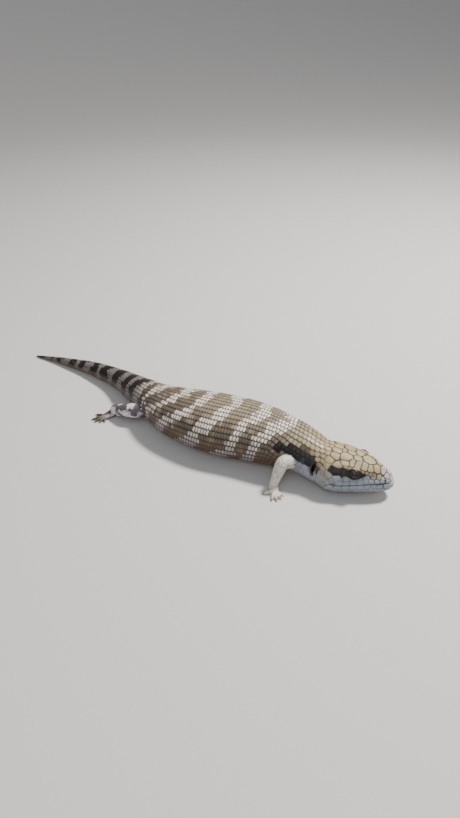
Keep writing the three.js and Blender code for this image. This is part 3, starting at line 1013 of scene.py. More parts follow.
def refine(mesh, chosen):
    """Splits the faces whose corners are all chosen."""
    bm = bmesh.new()
    bm.from_mesh(mesh)
    bm.verts.ensure_lookup_table()
    edges = [e for e in bm.edges if chosen[e.verts[0].index] and chosen[e.verts[1].index]]
    bmesh.ops.subdivide_edges(bm, edges=edges, cuts=1, use_grid_fill=True)
    bm.to_mesh(mesh)
    bm.free()
    mesh.update()


def markings(p):
    """The coat's colours at points, where they are on their tubes, and the tubes' numbers."""
    hit = on_tubes.nearest(p)
    owner, s, f = on_tubes.owner[hit], on_tubes.s[hit], on_tubes.f[hit]
    base = body_tint(s, f, p)[0]
    for k, name in enumerate(finder_names()):
        mine = owner == k
        if name and mine.any():
            base[mine] = leg_tint(name, leg_share(on_tubes.tubes[k], s[mine]), p[mine])[0]
    return base, s, f, owner


def skin_colours(p):
    """The coat's own markings, darker where the skin shows only between scales, with painted shade in the
    ears, nostrils, mouth line and round the eyes' openings.
    """
    base, s, f, owner = markings(p)
    seams = 0.75 * smoothstep(0.44, 0.36, np.abs(f)) * smoothstep(1, 6, s)
    colours = mix(base, seam_tint(base, s, f), seams)
    colours[owner > 0] = base[owner > 0] * 0.7
    # Painted shade in the ear openings and nostrils, and along the crease of the mouth
    pit_shade = np.maximum(smoothstep(1.5, 1.1, ear_distance(p)), smoothstep(1.1, 0.6, nostril_distance(p)))
    t = head_coordinates(p)[0]
    mouth = hill(mouth_height(p) / 0.4) * smoothstep(MOUTH_END + 1, MOUTH_END - 1, t)
    colours = mix(colours, PAINTED_PIT_SHADE, np.maximum(pit_shade, 0.8 * mouth))
    # Painted shade round each eye's opening, in the crease between lid and ball
    for side in (1, -1):
        r, _, opening = eye_view(p, side)
        rim = smoothstep(1.35, 1.05, opening) * (r < LID_RADIUS + 2)
        colours = mix(colours, PAINTED_PIT_SHADE, 0.9 * rim)
    return colours


def leg_share(tube, s):
    """How far down its leg a place is: legs run from 0 to 0.6, soles to 0.8, digits to 1."""
    share = s / tube.along[-1]
    if any(tube is t for t in legs.values()):
        return 0.6 * share
    if any(tube is t for t in soles.values()):
        return 0.6 + 0.2 * share
    return 0.8 + 0.2 * share


def all_tubes():
    return [body] + [t for n in LEGS for t in (legs[n], soles[n], *digits[n])]


def finder_names():
    """The leg that each of all_tubes belongs to."""
    return [None] + [n for n in LEGS for _ in range(2 + len(digits[n]))]


on_tubes = Finder(all_tubes())
LEG_NUMBERS = [k for k, tube in enumerate(on_tubes.tubes) if any(tube is leg for leg in legs.values())]


def crossing_ring(tube):
    """The ring of a leg that lies nearest the trunk's surface."""
    depth = on_trunk.depth(tube.points[:, ::4].reshape(-1, 3)).reshape(len(tube.points), -1)
    return tube.points[np.argmin(np.abs((depth > 0).mean(1) - 0.5)), ::4]


def from_feet(p):
    """How far points are from the front of the nearest sole."""
    return distances(p, [sole.points[-1].mean(0) for sole in soles.values()])


def smooth_skin(skin):
    """Takes the voxels' steps away, and rounds the legs into the trunk."""
    p = mesh_points(skin.data)
    seam = np.zeros(len(p))
    for tube in legs.values():
        seam = np.maximum(seam, smoothstep(7, 2, distances(p, crossing_ring(tube))))
    p = relax(skin.data, p, 0.4 * smoothstep(4, 20, from_feet(p)) + 0.15, 4)
    set_points(skin.data, relax(skin.data, p, 0.6 * seam, 24))


def raise_head(skin):
    """Gives the skin the head's relief, with finer faces where that is small."""
    refine(skin.data, near_head_detail(mesh_points(skin.data), 0.8))
    p = mesh_points(skin.data)
    near = np.flatnonzero(head_coordinates(p)[0] < HEAD_ZONE)
    normals = on_trunk.normals[on_trunk.nearest(p[near])]
    p[near] = with_pits(*head_relief(p[near], normals))
    set_points(skin.data, p)


def thin_out(skin):
    """Fewer faces where the coat hides the skin, all of them kept on the head and feet."""
    p = mesh_points(skin.data)
    hidden = smoothstep(50, 66, head_coordinates(p)[0]) * smoothstep(14, 20, from_feet(p))
    group = skin.vertex_groups.new(name="hidden")
    for level in range(1, 11):
        chosen = np.flatnonzero((hidden * 10).round() == level)
        group.add(chosen.tolist(), level / 10, "REPLACE")
    now = sum(len(face.vertices) - 2 for face in skin.data.polygons)
    applied(skin, "DECIMATE", ratio=min(SKIN_TRIANGLES / now, 1), vertex_group="hidden")
    skin.vertex_groups.clear()


def make_skin():
    skin = rough_skin()
    smooth_skin(skin)
    raise_head(skin)
    thin_out(skin)
    set_colours(skin.data, skin_colours(mesh_points(skin.data)))
    skin.data.polygons.foreach_set("use_smooth", np.ones(len(skin.data.polygons), bool))
    return skin


# The coat
def plate_pattern(around, rings):
    """The corner each point of a plate is at, its share of the outline, its drop, 1 if below."""
    corner, rows = [], []
    for share, drop, under in [(0, 0, 0), *((*ring, 0) for ring in rings), (UNDER_SHARE, 0, 1), (0, 0, 1)]:
        count = around if share else 1
        corner += range(count)
        rows += [(share, drop, under)] * count
    return corner, *np.array(rows, float).T


def shaded(tint, share, aside, under, rim_from):
    """A plate's colours, darker along its sides and round its rim, with painted shade on the walls of its
    edge and below.
    """
    base, edge, lateral, rim = tint
    dark = lateral * smoothstep(0.3, 0.95, share) * np.abs(aside) ** 1.6
    dark = dark + rim * smoothstep(rim_from, 1, share)
    # painted shade on the edge walls and underside
    return mix(base, edge, np.maximum(np.minimum(dark, 1), UNDER_SHADE * under))


class Coat:
    """One piece of the coat: closed plates joined in a mesh, with colours and a bake map."""

    def __init__(self):
        self.points, self.triangles, self.quads, self.colours, self.maps = [], [], [], [], []
        self.count = 0

    def add(self, surface, girth_at, s, f, outline, heights, tint, spots, rings=TOP_RINGS, rim_from=0.6):
        """Plates with the given outlines, in mm behind and to the right of their roots.

        surface gives points and normals at places, heights are each plate's front, rear, dome
        and thickness, spots its place on the unwrap, and tint gives the colours at places, the
        edges' colour there, and how dark a plate is along its sides and its rim.
        """
        n, around = outline.shape[:2]
        corner, share, drop, under = plate_pattern(around, rings)
        front, rear, dome, thick = (np.broadcast_to(h, n)[:, None] for h in heights)
        x, y = outline[:, corner, 0] * share, outline[:, corner, 1] * share
        low, high = outline[..., 0].min(1)[:, None], outline[..., 0].max(1)[:, None]
        back = (x - low) / (high - low)
        h = front + (rear - front) * back + dome * (1 - share ** 2) - drop - thick * under
        at = s[:, None] + x
        turned = f[:, None] + y / girth_at(at)
        p, normal = surface(at, turned)
        p = p + normal * h[..., None]
        p[..., 2] = np.maximum(p[..., 2], SCALE_FLOOR)
        self.take(p, around, len(rings))
        aside = y / np.abs(outline[..., 1]).max(1)[:, None]
        self.colours.append(shaded(tint(at, turned, p), share, aside, under, rim_from).reshape(-1, 3))
        span = np.abs(outline).max((1, 2))[:, None]
        patch = np.stack([x, y], -1) / span[..., None] * BAKE_PATCH / 2
        self.maps.append((spots[:, None] + patch).reshape(-1, 2))

    def take(self, p, around, rings):
        """Adds the plates' points, with the faces of their tops, sides and undersides."""
        n, size = p.shape[:2]
        start = self.count + np.arange(n)[:, None, None] * size
        j = np.arange(around)
        k = (j + 1) % around
        fan = np.stack([np.zeros_like(j), 1 + j, 1 + k], -1)
        last = 1 + rings * around
        shut = np.stack([np.full_like(j, size - 1), last + k, last + j], -1)
        starts = [1 + r * around for r in range(rings)]
        quads = [np.stack([r + j, r + around + j, r + around + k, r + k], -1) for r in starts]
        self.triangles.append((start + np.concatenate([fan, shut])).reshape(-1, 3))
        self.quads.append((start + np.concatenate(quads)).reshape(-1, 4))
        self.points.append(p.reshape(-1, 3))
        self.count += n * size

    def finish(self, name, material):
        parts = (self.points, self.triangles, self.quads, self.colours, self.maps)
        points, triangles, quads, colours, maps = (np.concatenate(part) for part in parts)
        piece = add_mesh(name, points, triangles, quads)
        set_colours(piece.data, colours)
        set_bake_map(piece.data, maps)
        finish_piece(piece, material, "skin")


def finish_piece(piece, material, slot, *replaced):
    piece.data.materials.clear()
    piece.data.materials.append(material)
    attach(piece, "root")
    if replaced:
        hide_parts(*replaced)


def rounded(corners, long, wide, squareness=2.5):
    """A scale's outline, from a circle at 2 towards a rectangle, for each length and width."""
    a = (np.arange(corners) + 0.5) / corners * 2 * math.pi
    c, s = np.cos(a), np.sin(a)
    x = np.sign(c) * np.abs(c) ** (2 / squareness)
    y = np.sign(s) * np.abs(s) ** (2 / squareness)
    long, wide = np.asarray(long, float), np.asarray(wide, float)
    return np.stack([x * long[:, None], y * wide[:, None]], -1)


def unwrapped(share, f, span=0.96, start=0.02):
    """Places on an unwrap, from shares of the way down it and fractions round it."""
    return np.stack([share * span + start, f * 0.96 + 0.5], -1)


def rings_on(start, end, girth_at, pitch_at, step_at):
    """Roots in rings down a tube, each ring set half a pitch round from the last."""
    places = []
    s, odd = start, 0
    while s < end:
        share = pitch_at(s) / girth_at(s)
        f = (np.arange(-math.ceil(0.5 / share) - 1, math.ceil(0.5 / share) + 2) + odd / 2) * share
        f = f[(f > -0.5 + 0.25 * share) & (f <= 0.5 + 0.01 * share)]
        places.append(np.stack([np.full_like(f, s), f], -1))
        s += step_at(s)
        odd = 1 - odd
    return np.concatenate(places).T


def add_rows(coat, surface, girth, s, f, step, width, heights, tint, spots, corners, rings=TOP_RINGS):
    """Overlapping scales at their roots, each reaching back over the next row."""
    n = len(s)
    jitter = rng.normal(0, 1, (4, n))
    long = ROW_SCALE[0] * step * (1 + 0.03 * jitter[0])
    wide = ROW_SCALE[1] * width * (1 + 0.02 * jitter[1])
    outline = rounded(corners, long, wide)
    outline[..., 0] += 0.5 * step[:, None]
    front, rear, dome, thick = heights
    base, edge, lateral, rim = tint
    shade = (base * (1 + SHADE_JITTER * jitter[3])[:, None])[:, None]
    lateral, rim = (np.broadcast_to(v, n)[:, None] for v in (lateral, rim))
    coat.add(
        surface, lambda _: girth, s + 0.1 * jitter[0], f, outline,
        (front, rear * (1 + 0.08 * jitter[2]), dome, thick),
        lambda *_: (shade, edge[:, None], lateral, rim), spots, rings)


def laid_on(surface, skin_faces, reach):
    """The surface, with each point moved along its normal to the skin where that is near."""
    def moved(s, f):
        points, normals = surface(s, f)
        flat, ways = points.reshape(-1, 3).copy(), normals.reshape(-1, 3)
        for i, (start, way) in enumerate(zip(flat + reach * ways, -ways)):
            hit = skin_faces.ray_cast(start, way, 2 * reach)[0]
            if hit is not None:
                flat[i] = hit
        return flat.reshape(points.shape), normals

    return moved


def lies_flat(laid, plain, s, f, long, wide):
    """Which scales lie on even skin, not in the crease between a leg and the trunk."""
    heights = []
    for back, aside in PROBES:
        at, turned = s + back * long, f + aside * wide
        points, normals = plain(at, turned)
        heights.append(((laid(at, turned)[0] - points) * normals).sum(-1))
    return np.ptp(heights, 0) < UNEVEN


# The body's rows
def coat_start(across):
    return read_off(COAT_START, across)


def row_width(s):
    """How wide the lengthwise rows of scales are."""
    return np.maximum(body.girth_at(s) / ROWS_AROUND, read_off(LEAST_ROW_WIDTH, s))


def scale_length(s):
    """How far it is from a scale to the next one in its row."""
    return read_off(SCALE_LENGTH, s)


def over_body(run, f):
    """Distances down the spine of places in the body's rows, which are even over its surface."""
    return body.reached(run - ROWS_FROM, f)


def body_rows():
    """Roots on the body that no leg covers and no ear opens under, behind the head shields."""
    run, f = rings_on(
        -0.2 * ROWS_FROM, TAIL_END, body.girth_at, lambda s: 2 * row_width(s),
        lambda s: scale_length(s) / 2)
    s = over_body(run, f)
    across = np.abs(f) * body.girth_at(s)
    begin = np.minimum(coat_start(across), coat_start(across + 1.8))
    keep = over_body(run + SHIELD_OVERLAP, f) > begin
    keep &= Finder([*legs.values()]).depth(body.sample(s, f)[0]) < ROWS_LEG_GAP
    keep &= ear_distance(body.sample(s + 1.6, f)[0]) > ROWS_EAR_GAP
    return run[keep], f[keep], s[keep]


def body_coat(material, skin_faces):
    run, f, s = body_rows()
    on_skin = laid_on(on_body, skin_faces, 1.4)
    flat = lies_flat(on_skin, on_body, s, f, scale_length(s), row_width(s) / body.girth_at(s))
    flat |= s < BODY_PIECES["scales_neck"][1]
    run, f, s = run[flat], f[flat], s[flat]
    for name, (first, last, corners) in BODY_PIECES.items():
        mine = (s >= first) & (s < last)
        at, turned, long = s[mine], f[mine], scale_length(s[mine])
        p, _ = body.sample(at, turned)
        base, lateral, rim = body_tint(at + rng.normal(0, 0.9, len(at)), turned, p)
        surface = on_body if first == 0 else on_skin
        coat = Coat()
        add_rows(
            coat, lambda r, g: surface(over_body(r, g), g), body.girth_at(at)[:, None],
            run[mine], turned, long, ROW_OVERLAP * row_width(at),
            (-0.2, 0.1 + 0.09 * long, 0.02 * long, 0.2),
            (base, seam_tint(base, at, turned), lateral, rim),
            unwrapped((at - first) / (last - first), turned), corners)
        coat.finish(name, material)


# Feet
def foot_rows(tube, around, spacing, others, surface):
    """Roots on a sole or digit where the skin is even and no other tube covers it."""
    s, f = rings_on(
        0.4, tube.along[-1] - 0.3, tube.girth_at, lambda at: tube.pitch_at(at, around),
        lambda at: spacing * tube.pitch_at(at, around))
    width = tube.pitch_at(s, around)
    keep = lies_flat(surface, tube.sample, s, f, spacing * width, width / tube.girth_at(s))
    keep &= Finder(others).depth(tube.sample(s, f)[0]) < FOOT_ROWS_GAP
    return s[keep], f[keep], width[keep]


def feet_coat(material, skin_faces):
    """Rows of scales on each sole and its digits."""
    coat = Coat()
    for number, name in enumerate(LEGS):
        tubes = [soles[name], *digits[name]]
        for k, tube in enumerate(tubes):
            around, spacing, corners = DIGIT_ROWS if k else SOLE_ROWS
            others = [body, legs[name]] + [soles[name]] * (k > 0)
            surface = laid_on(tube.sample, skin_faces, 0.8)
            s, f, width = foot_rows(tube, around, spacing, others, surface)
            base, lateral, rim = leg_tint(name, leg_share(tube, s), tube.sample(s, f)[0])
            row = number * len(tubes) + k
            spots = np.stack([
                s / tube.along[-1] * 0.96 + 0.02,
                (row + 0.5 + f * 0.9) / (len(LEGS) * len(tubes))], -1)
            add_rows(
                coat, surface, tube.girth_at(s)[:, None], s, f, width * spacing, width,
                (-0.15, 0.09 + 0.06 * width, 0.04, 0.15),
                (base, mix(base * 0.35, DARK_EDGE, 0.4), lateral, rim), spots, corners, TOP_RINGS[1:])
    coat.finish("scales_feet", material)


# The legs, with the folds where they join the trunk
def near_roots(p, reach):
    return distances(p, [crossing_ring(tube).mean(0) for tube in legs.values()]) < reach


def scattered(mesh, chosen):
    """Points and normals strewn evenly over the faces whose corners are all chosen."""
    mesh.calc_loop_triangles()
    corners = np.empty(len(mesh.loop_triangles) * 3, np.int32)
    mesh.loop_triangles.foreach_get("vertices", corners)
    corners = corners.reshape(-1, 3)
    corners = corners[chosen[corners].all(1)]
    normals = np.empty(len(mesh.vertices) * 3, np.float32)
    mesh.vertices.foreach_get("normal", normals)
    points = mesh_points(mesh)
    a, b, c = np.moveaxis(points[corners], 1, 0)
    area = np.linalg.norm(np.cross(b - a, c - a), axis=1) / 2
    pick = corners[rng.choice(len(area), int(area.sum() * TRIES), p=area / area.sum())]
    shares = np.diff(np.sort(rng.uniform(size=(len(pick), 2)), 1), prepend=0, append=1)[..., None]
    return (points[pick] * shares).sum(1), unit((normals.reshape(-1, 3)[pick] * shares).sum(1))


def laid_rows(skin_faces, names):
    """A tree of the points of some coat pieces that show above the skin round the legs."""
    p = np.concatenate([mesh_points(bpy.data.meshes[name]) for name in names])
    ankles = [tube.points[-1].mean(0) for tube in legs.values()]
    p = p[near_roots(p, FOLD_REACH + 2) | (distances(p, ankles) < 9)]
    hits = [skin_faces.find_nearest(point)[:2] for point in p]
    feet, normals = np.array([h[0] for h in hits]), np.array([h[1] for h in hits])
    return tree_of(p[((p - feet) * normals).sum(1) > 0.03])


def packed(points, pitch):
    """Which points to keep, each of them the first that is a pitch away from those before it."""
    tree = tree_of(points)
    free = np.ones(len(points), bool)
    kept = []
    for i, point in enumerate(points):
        if free[i]:
            kept.append(i)
            for _, j, _ in tree.find_range(point, pitch[i]):
                free[j] = False
    return kept


def on_faces(skin_faces, spots):
    """The nearest points of the skin."""
    flat = np.array([skin_faces.find_nearest(spot)[0] for spot in spots.reshape(-1, 3)])
    return flat.reshape(spots.shape)


def creased(skin_faces, p, pitch, back, right):
    """How far the skin is from flat under scales, by places on each of their four sides."""
    spots = [p + 0.6 * pitch[:, None] * way for way in (back, -back, right, -right)]
    return np.max([np.linalg.norm(on_faces(skin_faces, spot) - spot, axis=1) for spot in spots], 0)


def bare_places(skin, skin_faces):
    """Points strewn over the legs and the folds round them, clear of the rows, with normals."""
    p = mesh_points(skin.data)
    on_leg = np.isin(on_tubes.owner[on_tubes.nearest(p)], LEG_NUMBERS)
    p, normal = scattered(skin.data, on_leg | near_roots(p, FOLD_REACH) & (ear_distance(p) > 2.2))
    rows = laid_rows(skin_faces, (*list(BODY_PIECES)[:4], "scales_feet"))
    bare = np.array([rows.find(point)[2] > CLEAR for point in p])
    return p[bare], normal[bare]


def leg_pattern(p, s, owner):
    """How far apart scales are packed, least in the folds, and the way down their tube."""
    pitch = np.full(len(p), FOLD_PITCH)
    back = np.tile(-UP, (len(p), 1))
    for k in [0, *LEG_NUMBERS]:
        mine, tube = owner == k, on_tubes.tubes[k]
        back[mine] = tube.way_at(s[mine])
        if k:
            away = distances(p[mine], crossing_ring(tube))
            full = tube.pitch_at(s[mine], LEG_SCALES_AROUND)
            pitch[mine] = FOLD_PITCH + (full - FOLD_PITCH) * smoothstep(1, 6, away)
    return pitch, back


def legs_coat(material, skin, skin_faces):
    """Scales packed down each leg and round its root, as far as the rows of body and foot."""
    p, normal = bare_places(skin, skin_faces)
    base, s, _, owner = markings(p)
    pitch, back = leg_pattern(p, s, owner)
    order = np.lexsort((s, owner))
    order = order[packed(p[order], pitch[order])]
    p, normal, base, pitch, back = (v[order] for v in (p, normal, base, pitch, back))
    back = unit(back - (back * normal).sum(1, keepdims=True) * normal)
    right = np.cross(normal, back)

    def surface(x, y):
        points = p[:, None] + x[..., None] * back[:, None] + y[..., None] * right[:, None]
        return on_faces(skin_faces, points), np.broadcast_to(normal[:, None], points.shape)

    size = pitch * (1 - 0.5 * smoothstep(0.25, 0.7, creased(skin_faces, p, pitch, back, right)))
    jitter = rng.normal(0, 1, (3, len(p)))
    outline = rounded(
        11, size * (LEG_SCALE[0] + 0.02 * jitter[0]), size * (LEG_SCALE[1] + 0.015 * jitter[1]), 2.3)
    outline[..., 0] += 0.1 * size[:, None]
    shade = (base * (1 + SHADE_JITTER * jitter[2])[:, None])[:, None]
    hit = on_trunk.nearest(p)
    none = np.zeros(len(p))
    coat = Coat()
    coat.add(
        surface, lambda _: 1.0, none, none, outline, (-0.12, 0.1 + 0.06 * pitch, 0.05, 0.15),
        lambda *_: (shade, shade * 0.4, 0.25, 0.3),
        unwrapped(on_trunk.s[hit] / TAIL_END, on_trunk.f[hit]), TOP_RINGS[1:])
    coat.finish("scales_legs", material)


# Head shields
def mouth_across():
    """How far the mouth lies from the top line at each ring of the body, 0 ahead of it."""
    half = body.around // 2
    across = np.zeros(len(body.along))
    for i, ring in enumerate(body.points[:, :half]):
        height = mouth_height(ring)
        below = np.flatnonzero(height < 0)
        if len(below) and below[0] > 0:
            k = below[0]
            part = height[k - 1] / (height[k - 1] - height[k])
            across[i] = (k - 1 + part) / body.around * body.girth[i]
    return across


MOUTH_ACROSS = mouth_across()


def mouth_at(s):
    return np.interp(s, body.along, MOUTH_ACROSS)


def shield_seeds():
    """Every head shield and small scale, then the holes that the eyes and nostrils make."""
    right = [*PAIRED_SHIELDS.values()]
    right += [(t, w, *SUPRACILIARY_HALF) for t, w in SUPRACILIARIES]
    right += [(t, mouth_at(t) - 2.0, *LABIAL_HALF) for t in UPPER_LABIALS]
    right += [(t, mouth_at(t) + 2.1, *LABIAL_HALF) for t in LOWER_LABIALS]
    right += [(t, body.girth_at(t) / 2 - c, a, b) for t, c, a, b in CHIN_SHIELDS if c]
    for count, long, high, size in LID_RINGS:
        for k in range(count):
            a = (k + 0.5) / count * 2 * math.pi
            t, w = EYE_ON_SKIN[0] + long * math.cos(a), EYE_ON_SKIN[1] + high * math.sin(a)
            if w > np.interp(t, *zip(*SUPRACILIARIES)) + SUPRACILIARY_HALF[1] + 0.5 * size:
                right.append((t, w, size, size))
    holes = [(*EYE_ON_SKIN, *EYE_HOLE), (*nostril_on_skin(), NOSTRIL_RADIUS, NOSTRIL_RADIUS)]
    middle = [*MIDLINE_SHIELDS.values()]
    middle += [(t, body.girth_at(t) / 2, a, b) for t, c, a, b in CHIN_SHIELDS if not c]
    seeds = middle + [(t, side * w, a, b) for t, w, a, b in right for side in (1, -1)]
    holes = [(t, side * w, a, b) for t, w, a, b in holes for side in (1, -1)]
    named = np.array(seeds + holes)
    fill = filler(named)
    return np.concatenate([np.array(seeds), fill]), np.array(holes)


def nostril_on_skin():
    back, out, up = NOSTRIL_PLACE
    hit = on_trunk.nearest([on_head(back, -out, up)])[0]
    return on_trunk.s[hit], on_trunk.f[hit] * body.girth_at(on_trunk.s[hit])


def filler(named):
    """Small scales of one size wherever no named shield comes, as far as the rows behind."""
    spots = []
    for i, t in enumerate(np.arange(3.6, 60, FILLER_STEP)):
        half = body.girth_at(t) / 2
        for w in np.arange(0.25 + i % 2 / 2, half / FILLER_STEP) * FILLER_STEP:
            if t < coat_start(w) + 1 and abs(w - mouth_at(t)) > FILLER_HALF[1]:
                spots += [(t, w, *FILLER_HALF), (t, -w, *FILLER_HALF)]
    spots = np.array(spots)
    away = seed_distance(spots[:, None, :2], named[None]).min(1)
    return spots[away > FILLER_GAP]


def seed_offsets(q, seed):
    """How far places are behind a seed and round from it, the short way about the body."""
    girth = body.girth_at(q[..., 0])
    turn = q[..., 1] / girth - seed[..., 1] / body.girth_at(seed[..., 0])
    return q[..., 0] - seed[..., 0], ((turn + 0.5) % 1 - 0.5) * girth


def seed_distance(q, seed):
    x, y = seed_offsets(q, seed)
    return np.hypot(x / seed[..., 2], y / seed[..., 3])


def shield_outlines(seeds, holes):
    """Each shield's edge, half a seam inside the line where its neighbour is as near."""
    everything = np.concatenate([seeds, holes])
    angle = np.arange(SHIELD_CORNERS) / SHIELD_CORNERS * 2 * math.pi
    ray = np.stack([np.cos(angle), np.sin(angle)], -1)
    outlines = []
    for k, seed in enumerate(seeds):
        gap = seed_distance(everything[:, :2], seed)
        near = everything[[m for m in np.argsort(gap) if m != k][:NEIGHBOURS]]
        r = np.arange(0.05, 1.8 * max(seed[2:]), 0.06)
        x, y = r * ray[:, :1], r * ray[:, 1:]
        at = seed[0] + x
        w = (seed[1] / body.girth_at(seed[0]) + y / body.girth_at(at)) * body.girth_at(at)
        q = np.stack([at, w], -1)
        own = np.hypot(x / seed[2], y / seed[3])
        own_slope = np.stack([x / seed[2] ** 2, y / seed[3] ** 2], -1) / own[..., None]
        dx, dy = seed_offsets(q[:, :, None], near)
        other = np.hypot(dx / near[:, 2], dy / near[:, 3])
        slope = np.stack([dx / near[:, 2] ** 2, dy / near[:, 3] ** 2], -1) / other[..., None]
        steep = np.linalg.norm(slope - own_slope[:, :, None], axis=-1)
        room = ((other - own[..., None]) / steep).min(-1) - SEAM / 2
        above = np.abs(seed[1]) < mouth_at(seed[0])
        mouth = (mouth_at(at) - np.abs(w)) * (1 if above else -1) - LIP_GAP / 2
        mouth = np.where(at < MOUTH_END, mouth, 1)
        room = np.minimum(np.minimum(room, mouth), SHIELD_REACH - own)
        room = np.minimum(room, coat_start(np.abs(w)) + SHIELDS_PAST_START - at)
        stop = (room < 0).argmax(1)
        stop = np.where((room < 0).any(1), stop, len(r) - 1)
        edge = r[stop]
        edge = 0.25 * np.roll(edge, 1) + 0.5 * edge + 0.25 * np.roll(edge, -1)
        outlines.append(edge[:, None] * ray)
    return np.array(outlines)


def head_coat(material):
    seeds, holes = shield_seeds()
    outline = shield_outlines(seeds, holes)
    area = np.ptp(outline[..., 0], 1) * np.ptp(outline[..., 1], 1)
    keep = area > LEAST_SHIELD
    seeds, outline, area = seeds[keep], outline[keep], area[keep]
    s, f = seeds[:, 0], seeds[:, 1] / body.girth_at(seeds[:, 0])
    centre = outline.mean(1)
    s, f = s + centre[:, 0], f + centre[:, 1] / body.girth_at(s)
    outline = outline - centre[:, None]
    shade = (1 + 0.05 * rng.normal(0, 1, len(s)))[:, None]
    size = np.sqrt(area)
    heights = (HEAD_COAT * 0.6, HEAD_COAT + 0.01 * size, 0.02 * size, 0.5)
    spots = unwrapped(s / HEAD_UNWRAP, f, 0.9, 0.05)

    def tint(at, turned, p):
        base, lateral, _ = body_tint(0.6 * at + 0.4 * s[:, None], 0.6 * turned + 0.4 * f[:, None], p)
        base = base * shade[..., None]
        crown = smoothstep(18, 14, np.abs(turned) * body.girth_at(at)) * smoothstep(0, 6, at)
        return base, mix(base * 0.5, HEAD_SEAM, 0.3 + 0.7 * crown), 0.2 * lateral, 0.35 + 0.65 * crown

    coat = Coat()
    coat.add(on_body, body.girth_at, s, f, outline, heights, tint, spots, SHIELD_RINGS, 0.78)
    add_lobules(coat)
    coat.finish("scales_head", material)


def add_lobules(coat):
    """Small scales over the front edge of each ear, the jowl's pale tone darkened with painted shade of
    the opening.
    """
    hit = on_trunk.nearest([on_head(EAR_PLACE[0], -EAR_PLACE[1], EAR_PLACE[2])])[0]
    ear_s, ear_f = on_trunk.s[hit], on_trunk.f[hit]
    rows = [(drop, long, side) for drop, long in LOBULES for side in (1, -1)]
    drop, long, side = np.array(rows).T
    s = np.full(len(rows), ear_s - EAR_HALF[0] + 0.2)
    f = side * (ear_f + drop / body.girth_at(ear_s))
    outline = rounded(14, long, 0.62 * long)
    # painted shade of the ear opening darkens these pale scales to grey
    base = (JOWL * 0.4)[None, None]
    coat.add(
        body.sample, body.girth_at, s, f, outline, (-0.5, 0.8, 0.15, 0.3),
        lambda *_: (base, base * 0.4, 0.2, 0.3), unwrapped(s / HEAD_UNWRAP, f, 0.9, 0.06))


# Eyes and claws
def make_eye(side, material):
    """A ball with a clear bulge over its iris, in rings round the way it looks."""
    looks, ahead, rise = eye_axes(side)
    theta = np.concatenate([np.linspace(0.02, 0.8, 40), np.linspace(0.85, math.pi - 0.05, 30)])
    phi = np.linspace(0, 2 * math.pi, 65)[:-1]
    radius = EYE_RADIUS + EYE_BULGE * hill(theta / 0.5)
    ring = np.cos(phi)[:, None] * ahead - side * np.sin(phi)[:, None] * rise
    out = np.cos(theta)[:, None, None] * looks + np.sin(theta)[:, None, None] * ring
    name = {1: "left", -1: "right"}[side]
    eye = add_mesh("eyeball_" + name, *closed_tube(EYE_CENTRES[side] + radius[:, None, None] * out))
    streak = 0.5 + 0.5 * np.sin(23 * phi + 2 * np.sin(5 * phi))
    t, streak = np.meshgrid(theta, streak, indexing="ij")
    iris = mix(mix(IRIS_INNER, IRIS_OUTER, smoothstep(PUPIL, IRIS, t)), IRIS_DARK, 0.45 * streak)
    colour = mix(PUPIL_BLACK, iris, smoothstep(PUPIL - 0.02, PUPIL + 0.02, t))
    colour = mix(colour, PUPIL_BLACK, smoothstep(IRIS - 0.06, IRIS + 0.06, t))
    set_colours(eye.data, colour.reshape(-1, 3))
    finish_piece(eye, material, "eye", "eye_" + name)


def claw(tip, way):
    """Points, quads and ends of one claw: a tapered horn that curves down to the floor."""
    t = np.linspace(0, 1, 9)
    middle = tip + way * ((t * (CLAW_LENGTH + CLAW_ROOT)) - CLAW_ROOT)[:, None]
    middle[:, 2] = 1.15 + 0.5 * np.sin(math.pi * t ** 0.8) - 0.95 * t ** 1.5
    radius = CLAW_RADIUS * (1 - t) ** 0.75 + CLAW_TIP_RADIUS
    around = np.linspace(0, 2 * math.pi, 13)[:-1]
    side = np.cross(UP, way)
    ring = 0.75 * np.sin(around)[:, None] * side + np.cos(around)[:, None] * UP
    points = middle[:, None] + radius[:, None, None] * ring
    points[..., 2] = np.maximum(points[..., 2], SCALE_FLOOR)
    return *closed_tube(points), mix(CLAW_DARK, CLAW_TIP, np.repeat(t, len(around)))


def make_claws(material):
    parts = [claw(tip, way) for leg in LEGS.values() for _, tip, way in foot_places(leg)[2]]
    claws = add_mesh("claws", *joined([part[:4] for part in parts]))
    set_colours(claws.data, np.concatenate([part[4] for part in parts]))
    finish_piece(claws, material, "skin")


# Materials
def node(tree, kind, inputs=None, **settings):
    made = tree.nodes.new(kind)
    for key, value in settings.items():
        setattr(made, key, value)
    for key, value in (inputs or {}).items():
        if isinstance(value, bpy.types.NodeSocket):
            tree.links.new(value, made.inputs[key])
        else:
            made.inputs[key].default_value = value
    return made


def noise(tree, size, detail=4.0):
    """Noise whose lumps are about the given size in mm, in the object's own space."""
    place = node(tree, "ShaderNodeTexCoord").outputs["Object"]
    inputs = {"Vector": place, "Scale": 1000 / size, "Detail": detail}
    return node(tree, "ShaderNodeTexNoise", inputs).outputs[0]


def spread(tree, value, low, high):
    """A value that runs over the given range as noise does from 0.3 to 0.7."""
    return node(tree, "ShaderNodeMapRange", {
        "Value": value, "From Min": 0.3, "From Max": 0.7, "To Min": low, "To Max": high}).outputs[0]


